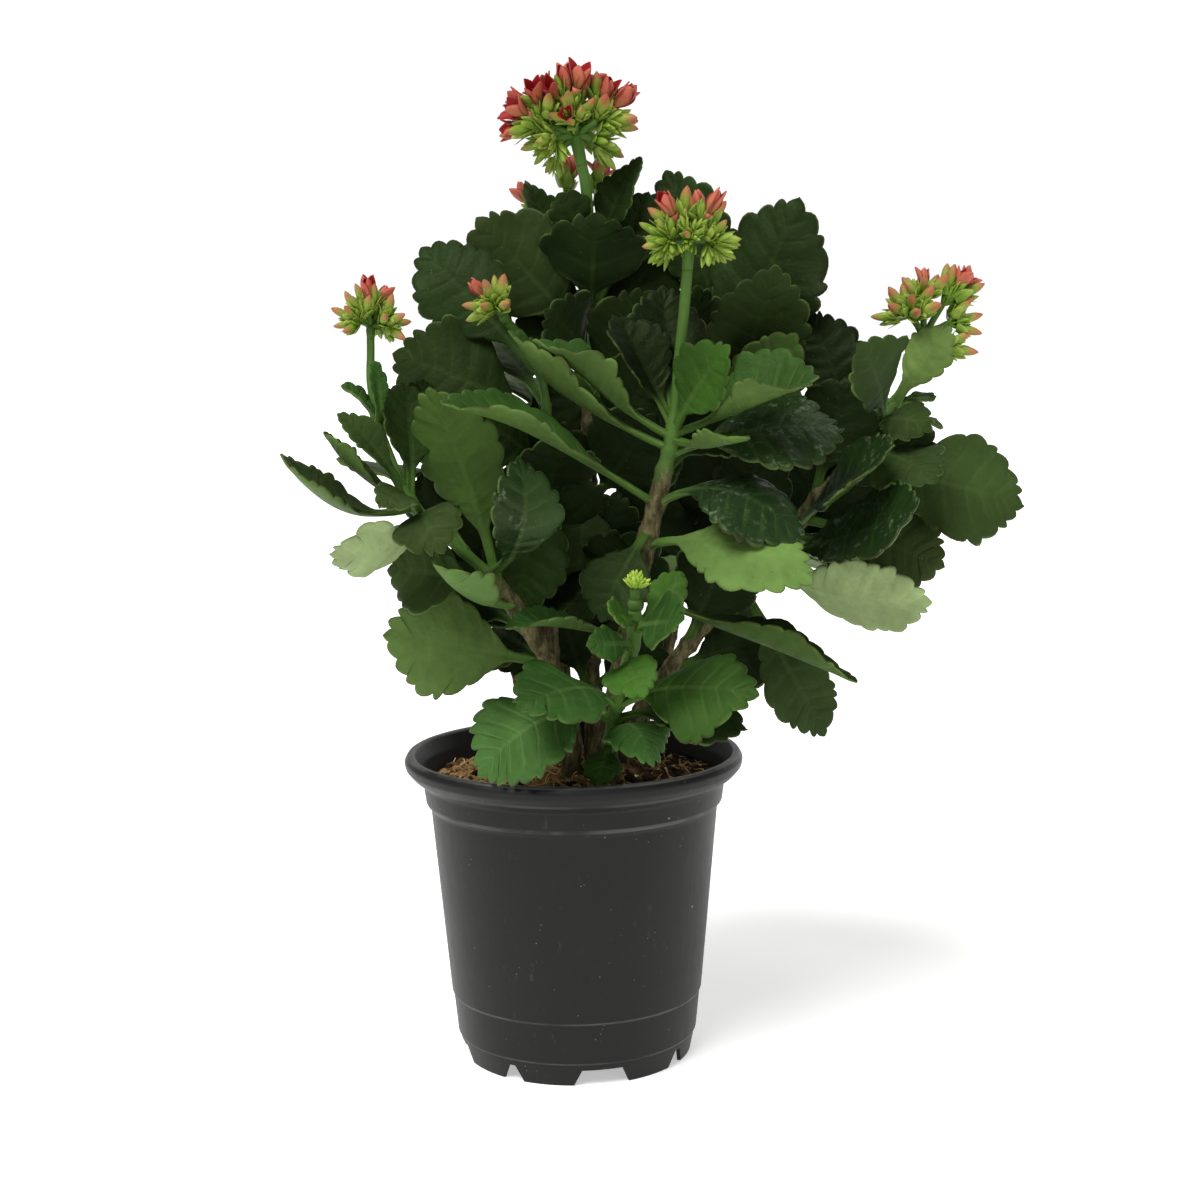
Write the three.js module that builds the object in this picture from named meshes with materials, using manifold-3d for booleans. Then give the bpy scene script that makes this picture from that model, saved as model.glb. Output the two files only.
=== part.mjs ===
// A kalanchoe in a black nursery pot, in millimetres, +Z up.
// The pieces are drawn around the middle of the circle that the pot's feet stand on. The whole
// plant is then moved level, until the middle of its box is over the origin.
import * as THREE from "three";
import { mergeVertices } from "three/addons/utils/BufferGeometryUtils.js";
import Module from "manifold-3d";

const wasm = await Module();
wasm.setup();

// ---- Driving dimensions ----

const GAP = 0.3;
const DEG = Math.PI / 180;

const POT_SIDES = 24;
const POT_HEIGHT = 118;
const RIM_RADIUS = 65;
const RIM_INNER_RADIUS = 61.3;
const COLLAR_RADIUS = 58;
const COLLAR_TOP = 107.4;
const COLLAR_BOTTOM = 99.5;
const BODY_TOP_RADIUS = 55.2;
const BODY_TOP = 97.5;
const STEP_RADIUS = 48.6;
const STEP_HEIGHT = 25;
const FOOT_RADIUS = 44.2;
const FOOT_STEP_HEIGHT = 8.6;
const WALL = 1.3;
const FLOOR_BOTTOM = 7.6;
const FLOOR_TOP = 9.2;
const NOTCH_HEIGHT = 6.2;
const WIDE_NOTCH = 21;
const NARROW_NOTCH = 9;
const NOTCH_TURN = 12.7 * DEG;
const DRAIN_HOLES = 4;
const DRAIN_RADIUS = 4;
const DRAIN_CIRCLE = 27;

const SOIL_EDGE_HEIGHT = 106.5;
const SOIL_MOUND = 5;
const SOIL_RINGS = 4;
const SOIL_CLOD = 1.3;

const STEM_SIDES = 5;
const STEM_STEP = 22;
const BURIED_TO = 72;

const PETIOLE_SHARE = 0.2;
const FOOT_HALF_WIDTH = 1.3;
const FOOT_OFFSET = 0.5;
const PETIOLE_HALF_WIDTH = 2;
const PETIOLE_THICKNESS = 2.5;
const BLADE_THICKNESS = 1.25;
const EDGE_THICKNESS = 1;
const BROADEST_POWER = 1.25;
const BLUNTNESS = 0.75;
const LOBE_RELIEF = 0.04;
const LOBES = 4;
const LOBES_ON_SMALL_LEAF = 3;
const SMALL_LEAF = 40;
const EDGE_START = 0.1;
const CROWN_AT = 0.55;
const FLAT_FOLD_SHARE = 0.35;
const WAVE_SHARE = 0.05;
const WAVE_TURNS = 9;
const WAVE_OFFSET = 2;

const NECK_CLEARANCE = 0.9;
const NECK_HEIGHT = 3;
const BRANCH_RADIUS = 1.2;
const BUD_LENGTH = 12.5;
const BUD_RADIUS = 2.7;
const BELLY_SHARE = 0.6;
const MOST_BUD_SHARE = 0.7;
const PETAL_LENGTH = 9.5;
const NICK_SHARE = 0.42;
const NICK_SPREAD = 0.8;
const CORE_RADIUS = 2.4;
const REACH_SPREAD = 0.08;
const GOLDEN_TURN = 137.5 * DEG;

// ---- Materials ----

const finish = (color, roughness) => new THREE.MeshStandardMaterial({ color, roughness, metalness: 0 });
const potPlastic = finish(0x24272a, 0.5);
const peat = finish(0x3d2a1c, 0.95);
const foliage = finish(0x2f5a26, 0.45);
const bloom = finish(0xc9604a, 0.55);
const freshBud = finish(0xa9c64a, 0.55);

// ---- Solids ----

function solidOf(geometry) {
  const bare = geometry.clone();
  bare.deleteAttribute("normal");
  bare.deleteAttribute("uv");
  const merged = mergeVertices(bare, 1e-4);
  return new wasm.Manifold(
    new wasm.Mesh({
      numProp: 3,
      vertProperties: merged.attributes.position.array,
      triVerts: new Uint32Array(merged.index.array),
    }),
  );
}

function solidOfFaces(points, faces) {
  const vertProperties = new Float32Array(points.flatMap((p) => [p.x, p.y, p.z]));
  const triVerts = new Uint32Array(faces.flat());
  return new wasm.Manifold(new wasm.Mesh({ numProp: 3, vertProperties, triVerts }));
}

const joined = (solids) => solids.reduce((whole, piece) => whole.add(piece));

function meshOf(name, solid, material) {
  const made = solid.getMesh();
  const geometry = new THREE.BufferGeometry();
  geometry.setAttribute("position", new THREE.BufferAttribute(made.vertProperties, 3));
  geometry.setIndex(new THREE.BufferAttribute(made.triVerts, 1));
  geometry.computeVertexNormals();
  const mesh = new THREE.Mesh(geometry, material);
  mesh.name = name;
  return mesh;
}

function regularShape(radius, sides) {
  const corners = Array.from({ length: sides }, (_, i) => {
    const turn = (2 * Math.PI * i) / sides;
    return new THREE.Vector2(radius * Math.cos(turn), radius * Math.sin(turn));
  });
  return new THREE.Shape(corners);
}

// A round bar along a smooth line through the points.
function bar(points, radius, steps, sides = STEM_SIDES) {
  const extrudePath = new THREE.CatmullRomCurve3(points, false, "catmullrom", 0.5);
  return solidOf(new THREE.ExtrudeGeometry(regularShape(radius, sides), { steps, extrudePath }));
}

function uprightCylinder(x, y, low, high, radius, sides) {
  const geometry = new THREE.CylinderGeometry(radius, radius, high - low, sides);
  geometry.rotateX(Math.PI / 2);
  geometry.translate(x, y, (low + high) / 2);
  return solidOf(geometry);
}

const vector = ([x, y, z]) => new THREE.Vector3(x, y, z);

// ---- Pot ----

// Radius and height pairs, up the outside, over the rolled rim and down the inside.
const POT_OUTSIDE = [
  [FOOT_RADIUS, 0],
  [FOOT_RADIUS + 1.7, FOOT_STEP_HEIGHT - 0.2],
  [FOOT_RADIUS + 2.3, FOOT_STEP_HEIGHT + 0.4],
  [STEP_RADIUS - 0.6, STEP_HEIGHT - 0.8],
  [STEP_RADIUS, STEP_HEIGHT],
  [BODY_TOP_RADIUS, BODY_TOP],
  [COLLAR_RADIUS - 1, COLLAR_BOTTOM],
  [COLLAR_RADIUS, COLLAR_TOP - 0.4],
  [62, 110],
  [RIM_RADIUS - 0.4, 113],
  [RIM_RADIUS, 115.4],
  [63.6, POT_HEIGHT],
  [RIM_INNER_RADIUS, POT_HEIGHT],
  [58.3, 112.4],
];

function innerWallRadius(height) {
  const outside = POT_OUTSIDE.slice(1, 8);
  const next = outside.findIndex(([, z]) => z >= height);
  const [r0, z0] = outside[next - 1];
  const [r1, z1] = outside[next];
  return r0 + ((r1 - r0) * (height - z0)) / (z1 - z0) - WALL;
}

function makePot() {
  const inside = [COLLAR_TOP - 0.4, COLLAR_BOTTOM, BODY_TOP - 1, STEP_HEIGHT, FLOOR_TOP];
  const profile = [
    [0, FLOOR_BOTTOM],
    [FOOT_RADIUS - WALL + 1, FLOOR_BOTTOM],
    [FOOT_RADIUS - WALL - 0.3, 0],
    ...POT_OUTSIDE,
    ...inside.map((height) => [innerWallRadius(height), height]),
    [0, FLOOR_TOP],
  ];
  const lathe = new THREE.LatheGeometry(
    profile.map(([r, z]) => new THREE.Vector2(r, z)),
    POT_SIDES,
  );
  lathe.rotateX(Math.PI / 2);
  let pot = solidOf(lathe);
  for (let i = 0; i < 8; i++) {
    const width = i % 2 ? NARROW_NOTCH : WIDE_NOTCH;
    pot = pot.subtract(footNotch(width, NOTCH_TURN + (i * Math.PI) / 4));
  }
  for (let i = 0; i < DRAIN_HOLES; i++) {
    const turn = NOTCH_TURN + Math.PI / 4 + (i * 2 * Math.PI) / DRAIN_HOLES;
    const x = DRAIN_CIRCLE * Math.sin(turn);
    const y = -DRAIN_CIRCLE * Math.cos(turn);
    pot = pot.subtract(uprightCylinder(x, y, FLOOR_BOTTOM - 1, FLOOR_TOP + 1, DRAIN_RADIUS, 12));
  }
  return pot;
}

// A wedge through the foot ring, narrower at its top, turned from the front towards +X.
function footNotch(width, turn) {
  const taper = 3;
  const outline = new THREE.Shape([
    new THREE.Vector2(-width / 2 - 0.5, -1),
    new THREE.Vector2(width / 2 + 0.5, -1),
    new THREE.Vector2(width / 2 - taper, NOTCH_HEIGHT),
    new THREE.Vector2(-width / 2 + taper, NOTCH_HEIGHT),
  ]);
  const wedge = new THREE.ExtrudeGeometry(outline, { depth: 20, bevelEnabled: false });
  wedge.rotateX(Math.PI / 2);
  wedge.translate(0, -FOOT_RADIUS + 12, 0);
  wedge.rotateZ(turn);
  return solidOf(wedge);
}

// ---- Soil ----

// Small clods: a sum of two crossed waves, the same at every build.
function clod(x, y) {
  return SOIL_CLOD * (Math.sin(0.31 * x + 1) * Math.cos(0.27 * y) + 0.6 * Math.sin(0.73 * x - 0.61 * y));
}

function soilHeight(x, y, edgeRadius) {
  const share = Math.hypot(x, y) / edgeRadius;
  const rise = SOIL_MOUND * (1 - share * share);
  return SOIL_EDGE_HEIGHT + rise + clod(x, y) * Math.min(1, 4 * (1 - share));
}

function makeSoil(shoots) {
  const rows = [
    [innerWallRadius(FLOOR_TOP) - 2 * GAP, FLOOR_TOP + GAP],
    [innerWallRadius(BODY_TOP - 1.5) - 2 * GAP, BODY_TOP - 1.5],
    [innerWallRadius(COLLAR_BOTTOM + 0.6) - 2 * GAP, COLLAR_BOTTOM + 0.8],
    [innerWallRadius(SOIL_EDGE_HEIGHT) - 2 * GAP, SOIL_EDGE_HEIGHT],
  ];
  const edgeRadius = rows[3][0];
  const rings = rows.map(([r, z]) => ({ r, height: () => z }));
  for (let k = SOIL_RINGS - 1; k > 0; k--) {
    rings.push({ r: (edgeRadius * k) / SOIL_RINGS, height: (x, y) => soilHeight(x, y, edgeRadius) });
  }
  const points = [];
  for (const { r, height } of rings) {
    for (let i = 0; i < POT_SIDES; i++) {
      const turn = (2 * Math.PI * i) / POT_SIDES;
      const x = r * Math.sin(turn);
      const y = r * Math.cos(turn);
      points.push(new THREE.Vector3(x, y, height(x, y)));
    }
  }
  const faces = [];
  for (let k = 0; k + 1 < rings.length; k++) {
    for (let i = 0; i < POT_SIDES; i++) {
      const a = k * POT_SIDES + i;
      const b = k * POT_SIDES + ((i + 1) % POT_SIDES);
      faces.push([a, a + POT_SIDES, b], [b, a + POT_SIDES, b + POT_SIDES]);
    }
  }
  const low = points.push(new THREE.Vector3(0, 0, FLOOR_TOP + GAP)) - 1;
  const top = points.push(new THREE.Vector3(0, 0, soilHeight(0, 0, edgeRadius))) - 1;
  const last = (rings.length - 1) * POT_SIDES;
  for (let i = 0; i < POT_SIDES; i++) {
    const next = (i + 1) % POT_SIDES;
    faces.push([low, i, next], [top, last + next, last + i]);
  }
  let soil = solidOfFaces(points, faces);
  for (const { spine, wood } of shoots) {
    const [x, y] = spine[0];
    const hole = uprightCylinder(x, y, BURIED_TO - GAP, POT_HEIGHT + 10, wood + 2 * GAP, STEM_SIDES + 1);
    soil = soil.subtract(hole);
  }
  return soil;
}

// ---- Leaves ----

const mix = (a, b, share) => a + (b - a) * share;

// Half the blade's width, as a share, from 0 at its foot to 1 at its tip.
function bladeShape(along) {
  return Math.sin(Math.PI * Math.min(1, along) ** BROADEST_POWER) ** BLUNTNESS;
}

// The leaf's middle surface: a rib along a bent line, and two halves folded up or down from it.
function leafSurface(foot, { tip, width, face, arch = 0, fold = 0 }) {
  const end = vector(tip);
  const length = foot.distanceTo(end);
  const along = end.clone().sub(foot).normalize();
  const up = vector(face);
  up.addScaledVector(along, -up.dot(along)).normalize();
  const across = along.clone().cross(up);
  const bend = foot.clone().add(end).multiplyScalar(0.5).addScaledVector(up, 2 * arch);
  const rib = new THREE.QuadraticBezierCurve3(foot, bend, end);
  const phase = 0.7 * tip[0] + 0.4 * tip[2];
  const place = (t, sideways) => {
    const middle = rib.getPoint(t);
    const normal = across.clone().cross(rib.getTangent(Math.min(1, Math.max(0, t))));
    const share = Math.min(1, Math.abs(sideways) / (width / 2));
    const angle = fold * DEG * mix(FLAT_FOLD_SHARE, 1, share);
    const offset = sideways > 0 ? 0 : WAVE_OFFSET;
    const wave = WAVE_SHARE * width * share * share * Math.sin(WAVE_TURNS * t + phase + offset);
    const point = middle.addScaledVector(across, sideways * Math.cos(angle));
    point.addScaledVector(normal, Math.abs(sideways) * Math.sin(angle) + wave);
    return { point, normal };
  };
  return { place, length };
}

// The cut edge of one half: [share along the leaf, distance from the rib], from foot to tip.
function leafEdge(length, width) {
  const bladeLength = (1 - PETIOLE_SHARE) * length;
  const samples = 48;
  const line = Array.from({ length: samples + 1 }, (_, i) => {
    const u = i / samples;
    return new THREE.Vector2(u * bladeLength, Math.max(PETIOLE_HALF_WIDTH, (width / 2) * bladeShape(u)));
  });
  line[samples].y = 0;
  const reach = [0];
  for (let i = 1; i <= samples; i++) {
    reach.push(reach[i - 1] + line[i].distanceTo(line[i - 1]));
  }
  const total = reach[samples];
  const pointAt = (distance) => {
    const i = Math.max(1, reach.findIndex((r) => r >= distance));
    const share = (distance - reach[i - 1]) / (reach[i] - reach[i - 1]);
    const onward = line[i].clone().sub(line[i - 1]).normalize();
    const outward = new THREE.Vector2(-onward.y, onward.x);
    return { spot: line[i - 1].clone().lerp(line[i], share), outward };
  };
  const lobes = width < SMALL_LEAF ? LOBES_ON_SMALL_LEAF : LOBES;
  const start = EDGE_START * total;
  const pitch = (total - start) / (lobes + 0.5);
  const relief = LOBE_RELIEF * width;
  const edge = [[0, FOOT_HALF_WIDTH], [PETIOLE_SHARE, PETIOLE_HALF_WIDTH]];
  for (let k = 0; k < lobes; k++) {
    for (const [part, push] of [[CROWN_AT, relief], [1, -relief]]) {
      const { spot, outward } = pointAt(start + pitch * (k + part));
      spot.addScaledVector(outward, push);
      edge.push([mix(PETIOLE_SHARE, 1, spot.x / bladeLength), spot.y]);
    }
  }
  edge.push([1 + relief / length, 0]);
  return edge;
}

function makeLeaf(foot, row) {
  const { place, length } = leafSurface(foot, row);
  const edge = leafEdge(length, row.width);
  const tipShare = edge[edge.length - 1][0];
  const rib = [0, PETIOLE_SHARE, 0.47, 0.75, tipShare];
  const tops = [];
  const bottoms = [];
  const addPoint = (t, sideways) => {
    const { point, normal } = place(t, sideways);
    const bladeShare = Math.max(0, (t - PETIOLE_SHARE) / (1 - PETIOLE_SHARE));
    const stalk = mix(PETIOLE_THICKNESS, BLADE_THICKNESS, Math.min(1, t / PETIOLE_SHARE));
    const thickness = bladeShare > 0 && sideways !== 0 ? EDGE_THICKNESS : stalk;
    tops.push(point.clone().addScaledVector(normal, thickness / 2));
    bottoms.push(point.clone().addScaledVector(normal, -thickness / 2));
    return tops.length - 1;
  };
  const ribPoints = rib.map((t) => addPoint(t, 0));
  const tip = ribPoints[ribPoints.length - 1];
  const half = (side) => [...edge.slice(0, -1).map(([t, s]) => addPoint(t, side * s)), tip];
  const halves = [half(1), half(-1)];
  const upper = [];
  halves.forEach((margin, which) => {
    let i = 0;
    let j = 0;
    const keep = (a, b, c) => upper.push(which ? [a, c, b] : [a, b, c]);
    while (i < rib.length - 2 || j < margin.length - 2) {
      const ribNext = i < rib.length - 2 ? rib[i + 1] : Infinity;
      const edgeNext = j < margin.length - 2 ? edge[j + 1][0] : Infinity;
      if (ribNext <= edgeNext) {
        keep(ribPoints[i], margin[j], ribPoints[i + 1]);
        i += 1;
      } else {
        keep(ribPoints[i], margin[j], margin[j + 1]);
        j += 1;
      }
    }
    keep(ribPoints[i], margin[j], tip);
  });
  const rim = [ribPoints[0], ...halves[0], ...halves[1].slice(0, -1).reverse()];
  const under = tops.length;
  const faces = [...upper, ...upper.map(([a, b, c]) => [a + under, c + under, b + under])];
  rim.forEach((a, i) => {
    const b = rim[(i + 1) % rim.length];
    faces.push([b, a, a + under], [b, a + under, b + under]);
  });
  return solidOfFaces([...tops, ...bottoms], faces);
}

// ---- Shoots ----

function spineOf({ spine }) {
  const curve = new THREE.CatmullRomCurve3(spine.map(vector), false, "catmullrom", 0.5);
  return (height) => {
    let low = 0;
    let high = 1;
    for (let i = 0; i < 40; i++) {
      const middle = (low + high) / 2;
      if (curve.getPoint(middle).z < height) low = middle;
      else high = middle;
    }
    return curve.getPoint(low);
  };
}

function stretch(pointAt, low, high, radius) {
  const steps = Math.max(1, Math.round((high - low) / STEM_STEP));
  const points = Array.from({ length: steps + 1 }, (_, i) => pointAt(mix(low, high, i / steps)));
  return bar(points, radius, steps);
}

// A leaf's foot lies inside the stem, off its axis towards the leaf.
function leafFoot({ wood, woodTo, green }, pointAt, { at, tip }) {
  const middle = pointAt(at);
  const along = pointAt(at + 2).sub(pointAt(at - 2)).normalize();
  const aim = vector(tip).sub(middle);
  aim.addScaledVector(along, -aim.dot(along)).normalize();
  return middle.addScaledVector(aim, FOOT_OFFSET * (at < woodTo ? wood : green));
}

function makeShoot(shoot) {
  const pointAt = spineOf(shoot);
  const [x, y, start] = shoot.spine[0];
  const end = shoot.spine[shoot.spine.length - 1][2];
  const pieces = [
    uprightCylinder(x, y, BURIED_TO, start + 2, shoot.wood, STEM_SIDES),
    stretch(pointAt, start, shoot.woodTo, shoot.wood),
  ];
  if (end > shoot.woodTo) {
    pieces.push(stretch(pointAt, shoot.woodTo - 1.5, end, shoot.green));
  }
  for (const leaf of shoot.leaves) {
    pieces.push(makeLeaf(leafFoot(shoot, pointAt, leaf), leaf));
  }
  return joined(pieces);
}

// Each shoot: the line of its stem, its woody part and the green part above, and its leaves.
// A leaf grows at a height on the stem, ends at its tip, and turns its upper side to face.
// arch is how far the rib bulges to that side, and fold how many degrees the halves rise.
const SHOOTS = {
  shoot_main: {
    spine: [
      [10, -10, 116], [13, -13, 129], [19, -20, 158], [28, -28, 200], [32, -32, 217],
      [36, -35, 234], [38, -36, 243], [40, -37, 267], [42, -37, 286], [43, -37, 298],
    ],
    wood: 3.4,
    woodTo: 238,
    green: 2.1,
    leaves: [
      { at: 243, tip: [55, -58, 273], width: 25, face: [-4, -9, 3], arch: 3, fold: 12 },
      { at: 241, tip: [87, -58, 261], width: 40, face: [-1, -3, 9], arch: 0, fold: 42 },
      { at: 240, tip: [-7, -50, 278], width: 34, face: [6, -2, 8], arch: -3, fold: 42 },
      { at: 236, tip: [-24, -44, 273], width: 36, face: [5, -2, 8], arch: -2, fold: 42 },
      { at: 239, tip: [61, -66, 243], width: 17, face: [1, -3, 9], arch: -3, fold: 25 },
      { at: 216, tip: [-41, -68, 258], width: 38, face: [4, -2, 8], arch: 2, fold: 45 },
      { at: 217, tip: [82, -60, 205], width: 36, face: [0, -5, 8], arch: 12, fold: -8 },
      { at: 201, tip: [81, -78, 193], width: 36, face: [1, -8, 6], arch: 8, fold: -10 },
      { at: 182, tip: [101, -62, 154], width: 36, face: [4, -2, 9], arch: 5, fold: 42 },
      { at: 205, tip: [11, -46, 175], width: 28, face: [-3, -9, 2], arch: 4, fold: 10 },
      { at: 246, tip: [35, -16, 294], width: 30, face: [0, -9, 1], arch: -3, fold: 15 },
      { at: 244, tip: [18, -24, 284], width: 26, face: [5, -7, 3], arch: 0, fold: 30 },
      { at: 235, tip: [99, -34, 243], width: 44, face: [-1, -6, 8], arch: 4, fold: -8 },
      { at: 165, tip: [-22, -61, 177], width: 18, face: [0, -1, 9], arch: 2, fold: 25 },
    ],
  },
  shoot_left: {
    spine: [
      [-1, -17, 116], [0, -19, 128], [-5, -26, 146], [-12, -34, 165], [-21, -40, 181],
      [-32, -45, 195], [-42, -47, 204], [-51, -48, 213], [-57, -48, 220], [-61, -46, 230],
      [-67, -43, 246], [-70, -39, 260], [-70, -36, 270], [-70, -35, 275],
    ],
    wood: 3,
    woodTo: 200,
    green: 1.9,
    leaves: [
      { at: 196, tip: [-16, -61, 242], width: 31, face: [5, -8, 2], arch: 11, fold: 8 },
      { at: 190, tip: [-46, -54, 259], width: 38, face: [1, 9, 2], arch: 3, fold: 5 },
      { at: 220, tip: [-60, -28, 259], width: 25, face: [5, -9, 1], arch: 4, fold: 12 },
      { at: 224, tip: [-53, -16, 260], width: 18, face: [2, -8, 2], arch: 2, fold: 10 },
      { at: 223, tip: [-77, -63, 252], width: 16, face: [2, -8, 5], arch: 2, fold: 15 },
      { at: 219, tip: [-86, -52, 243], width: 16, face: [4, -2, 8], arch: -2, fold: 42 },
      { at: 217, tip: [-98, -52, 237], width: 22, face: [2, -1, 9], arch: -10, fold: 40 },
      { at: 216, tip: [-64, -71, 221], width: 16, face: [0, -6, 7], arch: 4, fold: 0 },
      { at: 211, tip: [-78, -67, 200], width: 30, face: [3, 7, 6], arch: -4, fold: 0 },
      { at: 213, tip: [-43, -74, 204], width: 26, face: [-1, -9, 4], arch: 7, fold: 6 },
      { at: 203, tip: [-64, -38, 192], width: 34, face: [-1, -8, 5], arch: 5, fold: 0 },
      { at: 181, tip: [-45, -72, 199], width: 34, face: [2, -1, 9], arch: -4, fold: 40 },
      { at: 178, tip: [-62, -8, 196], width: 28, face: [0, 1, 9], arch: 0, fold: 5 },
      { at: 156, tip: [-68, -33, 162], width: 43, face: [-2, -9, 2], arch: 6, fold: -5 },
      { at: 246, tip: [-67, -50, 269], width: 10, face: [5, -7, 1], arch: 2, fold: 10 },
      { at: 247, tip: [-78, -48, 259], width: 12, face: [3, -4, 8], arch: 2, fold: 10 },
      { at: 219, tip: [-76, 8, 226], width: 34, face: [0, 3, 8], arch: 6, fold: 5 },
      { at: 165, tip: [-40, 24, 165], width: 34, face: [-2, 1, 8], arch: 6, fold: 5 },
    ],
  },
  shoot_right: {
    spine: [
      [19, 3, 116], [28, 4, 136], [49, 4, 163], [72, 3, 188], [95, 1, 215],
      [112, 0, 235], [122, 2, 248], [127, 4, 256], [131, 6, 264], [133, 7, 270],
    ],
    wood: 3,
    woodTo: 236,
    green: 2.1,
    leaves: [
      { at: 228, tip: [172, -6, 209], width: 46, face: [-1, -9, 3], arch: 4, fold: -5 },
      { at: 243, tip: [104, -24, 275], width: 34, face: [5, -8, 1], arch: 3, fold: 8 },
      { at: 241, tip: [133, -19, 240], width: 22, face: [3, -9, 3], arch: 6, fold: 0 },
      { at: 231, tip: [132, -35, 222], width: 30, face: [1, -7, 6], arch: 5, fold: 0 },
      { at: 207, tip: [140, -5, 188], width: 34, face: [2, -9, 2], arch: 5, fold: 0 },
      { at: 186, tip: [130, -27, 167], width: 38, face: [-1, 8, 6], arch: -3, fold: 0 },
      { at: 204, tip: [117, -44, 233], width: 40, face: [-3, -3, 9], arch: 0, fold: 40 },
      { at: 192, tip: [125, -54, 216], width: 36, face: [-1, -4, 9], arch: -6, fold: 30 },
      { at: 180, tip: [95, -13, 123], width: 28, face: [0, -9, 1], arch: 6, fold: 0 },
      { at: 214, tip: [106, 3, 258], width: 33, face: [-2, -8, 5], arch: 4, fold: 0 },
      { at: 250, tip: [138, 2, 251], width: 10, face: [2, -3, 8], arch: 1, fold: 10 },
      { at: 255, tip: [140, -4, 274], width: 19, face: [-3, -9, 2], arch: 2, fold: 5 },
      { at: 236, tip: [144, 48, 248], width: 34, face: [2, 2, 8], arch: 5, fold: 10 },
      { at: 214, tip: [127, 66, 199], width: 38, face: [1, 4, 8], arch: 8, fold: 5 },
      { at: 190, tip: [109, 52, 151], width: 38, face: [1, 3, 8], arch: 10, fold: 0 },
      { at: 158, tip: [62, -6, 200], width: 34, face: [1, -9, 2], arch: 3, fold: 0 },
    ],
  },
  shoot_tall: {
    spine: [
      [8, 13, 116], [7, 16, 158], [7, 20, 212], [8, 22, 270], [8, 22, 305],
      [8, 21, 322], [7, 20, 334], [6, 20, 339],
    ],
    wood: 3.2,
    woodTo: 262,
    green: 2.1,
    leaves: [
      { at: 275, tip: [-33, 17, 318], width: 46, face: [-2, -9, 3], arch: 5, fold: -5 },
      { at: 285, tip: [11, 4, 321], width: 42, face: [0, -9, 1], arch: 3, fold: -5 },
      { at: 291, tip: [-18, 38, 334], width: 22, face: [7, -4, 4], arch: 0, fold: 25 },
      { at: 300, tip: [27, 24, 343], width: 22, face: [-6, -6, 3], arch: 2, fold: 20 },
      { at: 265, tip: [-8, -6, 285], width: 31, face: [0, -8, 4], arch: 3, fold: 5 },
      { at: 250, tip: [32, 14, 292], width: 34, face: [1, -9, 2], arch: 3, fold: 5 },
      { at: 312, tip: [-3, 16, 329], width: 18, face: [0, -9, 2], arch: 2, fold: 5 },
      { at: 285, tip: [33, 82, 310], width: 40, face: [1, 3, 8], arch: 6, fold: 10 },
      { at: 212, tip: [33, 0, 246], width: 40, face: [1, -9, 2], arch: 3, fold: 0 },
      { at: 186, tip: [-10, 2, 222], width: 38, face: [-1, -9, 2], arch: 3, fold: 0 },
      { at: 168, tip: [30, -2, 200], width: 36, face: [1, -9, 2], arch: 3, fold: 0 },
    ],
  },
  shoot_upper_left: {
    spine: [
      [-3, 1, 116], [-8, 0, 160], [-10, -3, 207], [-8, -7, 245], [-12, -14, 268],
      [-18, -21, 277], [-21, -25, 281],
    ],
    wood: 2.8,
    woodTo: 232,
    green: 1.6,
    leaves: [
      { at: 243, tip: [-67, -2, 269], width: 44, face: [-1, -8, 4], arch: 8, fold: -5 },
      { at: 225, tip: [-38, -27, 249], width: 29, face: [0, -7, 6], arch: 4, fold: 0 },
      { at: 262, tip: [-55, 8, 304], width: 40, face: [-1, -9, 3], arch: 4, fold: -5 },
      { at: 216, tip: [-3, -26, 239], width: 36, face: [2, -9, 2], arch: 2, fold: 8 },
      { at: 205, tip: [-38, 2, 215], width: 38, face: [-2, -8, 4], arch: 4, fold: 0 },
      { at: 175, tip: [2, -24, 178], width: 32, face: [1, -8, 4], arch: 5, fold: 5 },
      { at: 185, tip: [-54, 52, 194], width: 38, face: [-2, 2, 8], arch: 8, fold: 5 },
      { at: 226, tip: [-49, 58, 238], width: 40, face: [-2, 3, 8], arch: 8, fold: 5 },
      { at: 250, tip: [-40, 52, 278], width: 36, face: [-2, 2, 8], arch: 5, fold: 10 },
    ],
  },
  shoot_slender: {
    spine: [[-2, 24, 116], [-5, 36, 171], [-6, 42, 231], [-5, 44, 278], [-2, 44, 305], [-1, 42, 317]],
    wood: 2.4,
    woodTo: 200,
    green: 1.5,
    leaves: [
      { at: 238, tip: [-46, 96, 262], width: 36, face: [-2, 3, 8], arch: 8, fold: 5 },
      { at: 234, tip: [33, 106, 264], width: 36, face: [2, 3, 8], arch: 8, fold: 5 },
      { at: 266, tip: [-5, 110, 297], width: 32, face: [0, 4, 8], arch: 6, fold: 5 },
    ],
  },
  shoot_short: {
    spine: [
      [13, -24, 116], [14, -29, 126], [15, -34, 136], [17, -42, 145], [19, -50, 156],
      [22, -56, 166], [23, -60, 175], [23, -61, 180],
    ],
    wood: 3.6,
    woodTo: 128,
    green: 2.3,
    leaves: [
      { at: 137, tip: [-33, -56, 121], width: 40, face: [-2, -6, 7], arch: 14, fold: -6 },
      { at: 143, tip: [-17, -76, 147], width: 36, face: [-1, -6, 8], arch: 9, fold: -8 },
      { at: 144, tip: [65, -68, 150], width: 38, face: [2, -7, 7], arch: 7, fold: -5 },
      { at: 137, tip: [63, -50, 136], width: 30, face: [1, -5, 8], arch: 6, fold: 0 },
      { at: 127, tip: [29, -57, 125], width: 28, face: [1, -4, 8], arch: 11, fold: -18 },
      { at: 175, tip: [40, -82, 179], width: 20, face: [1, -9, 4], arch: 2, fold: 5 },
      { at: 162, tip: [25, -83, 155], width: 20, face: [-2, -9, 3], arch: 4, fold: 0 },
      { at: 177, tip: [13, -78, 182], width: 12, face: [-1, -8, 5], arch: 1, fold: 10 },
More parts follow.
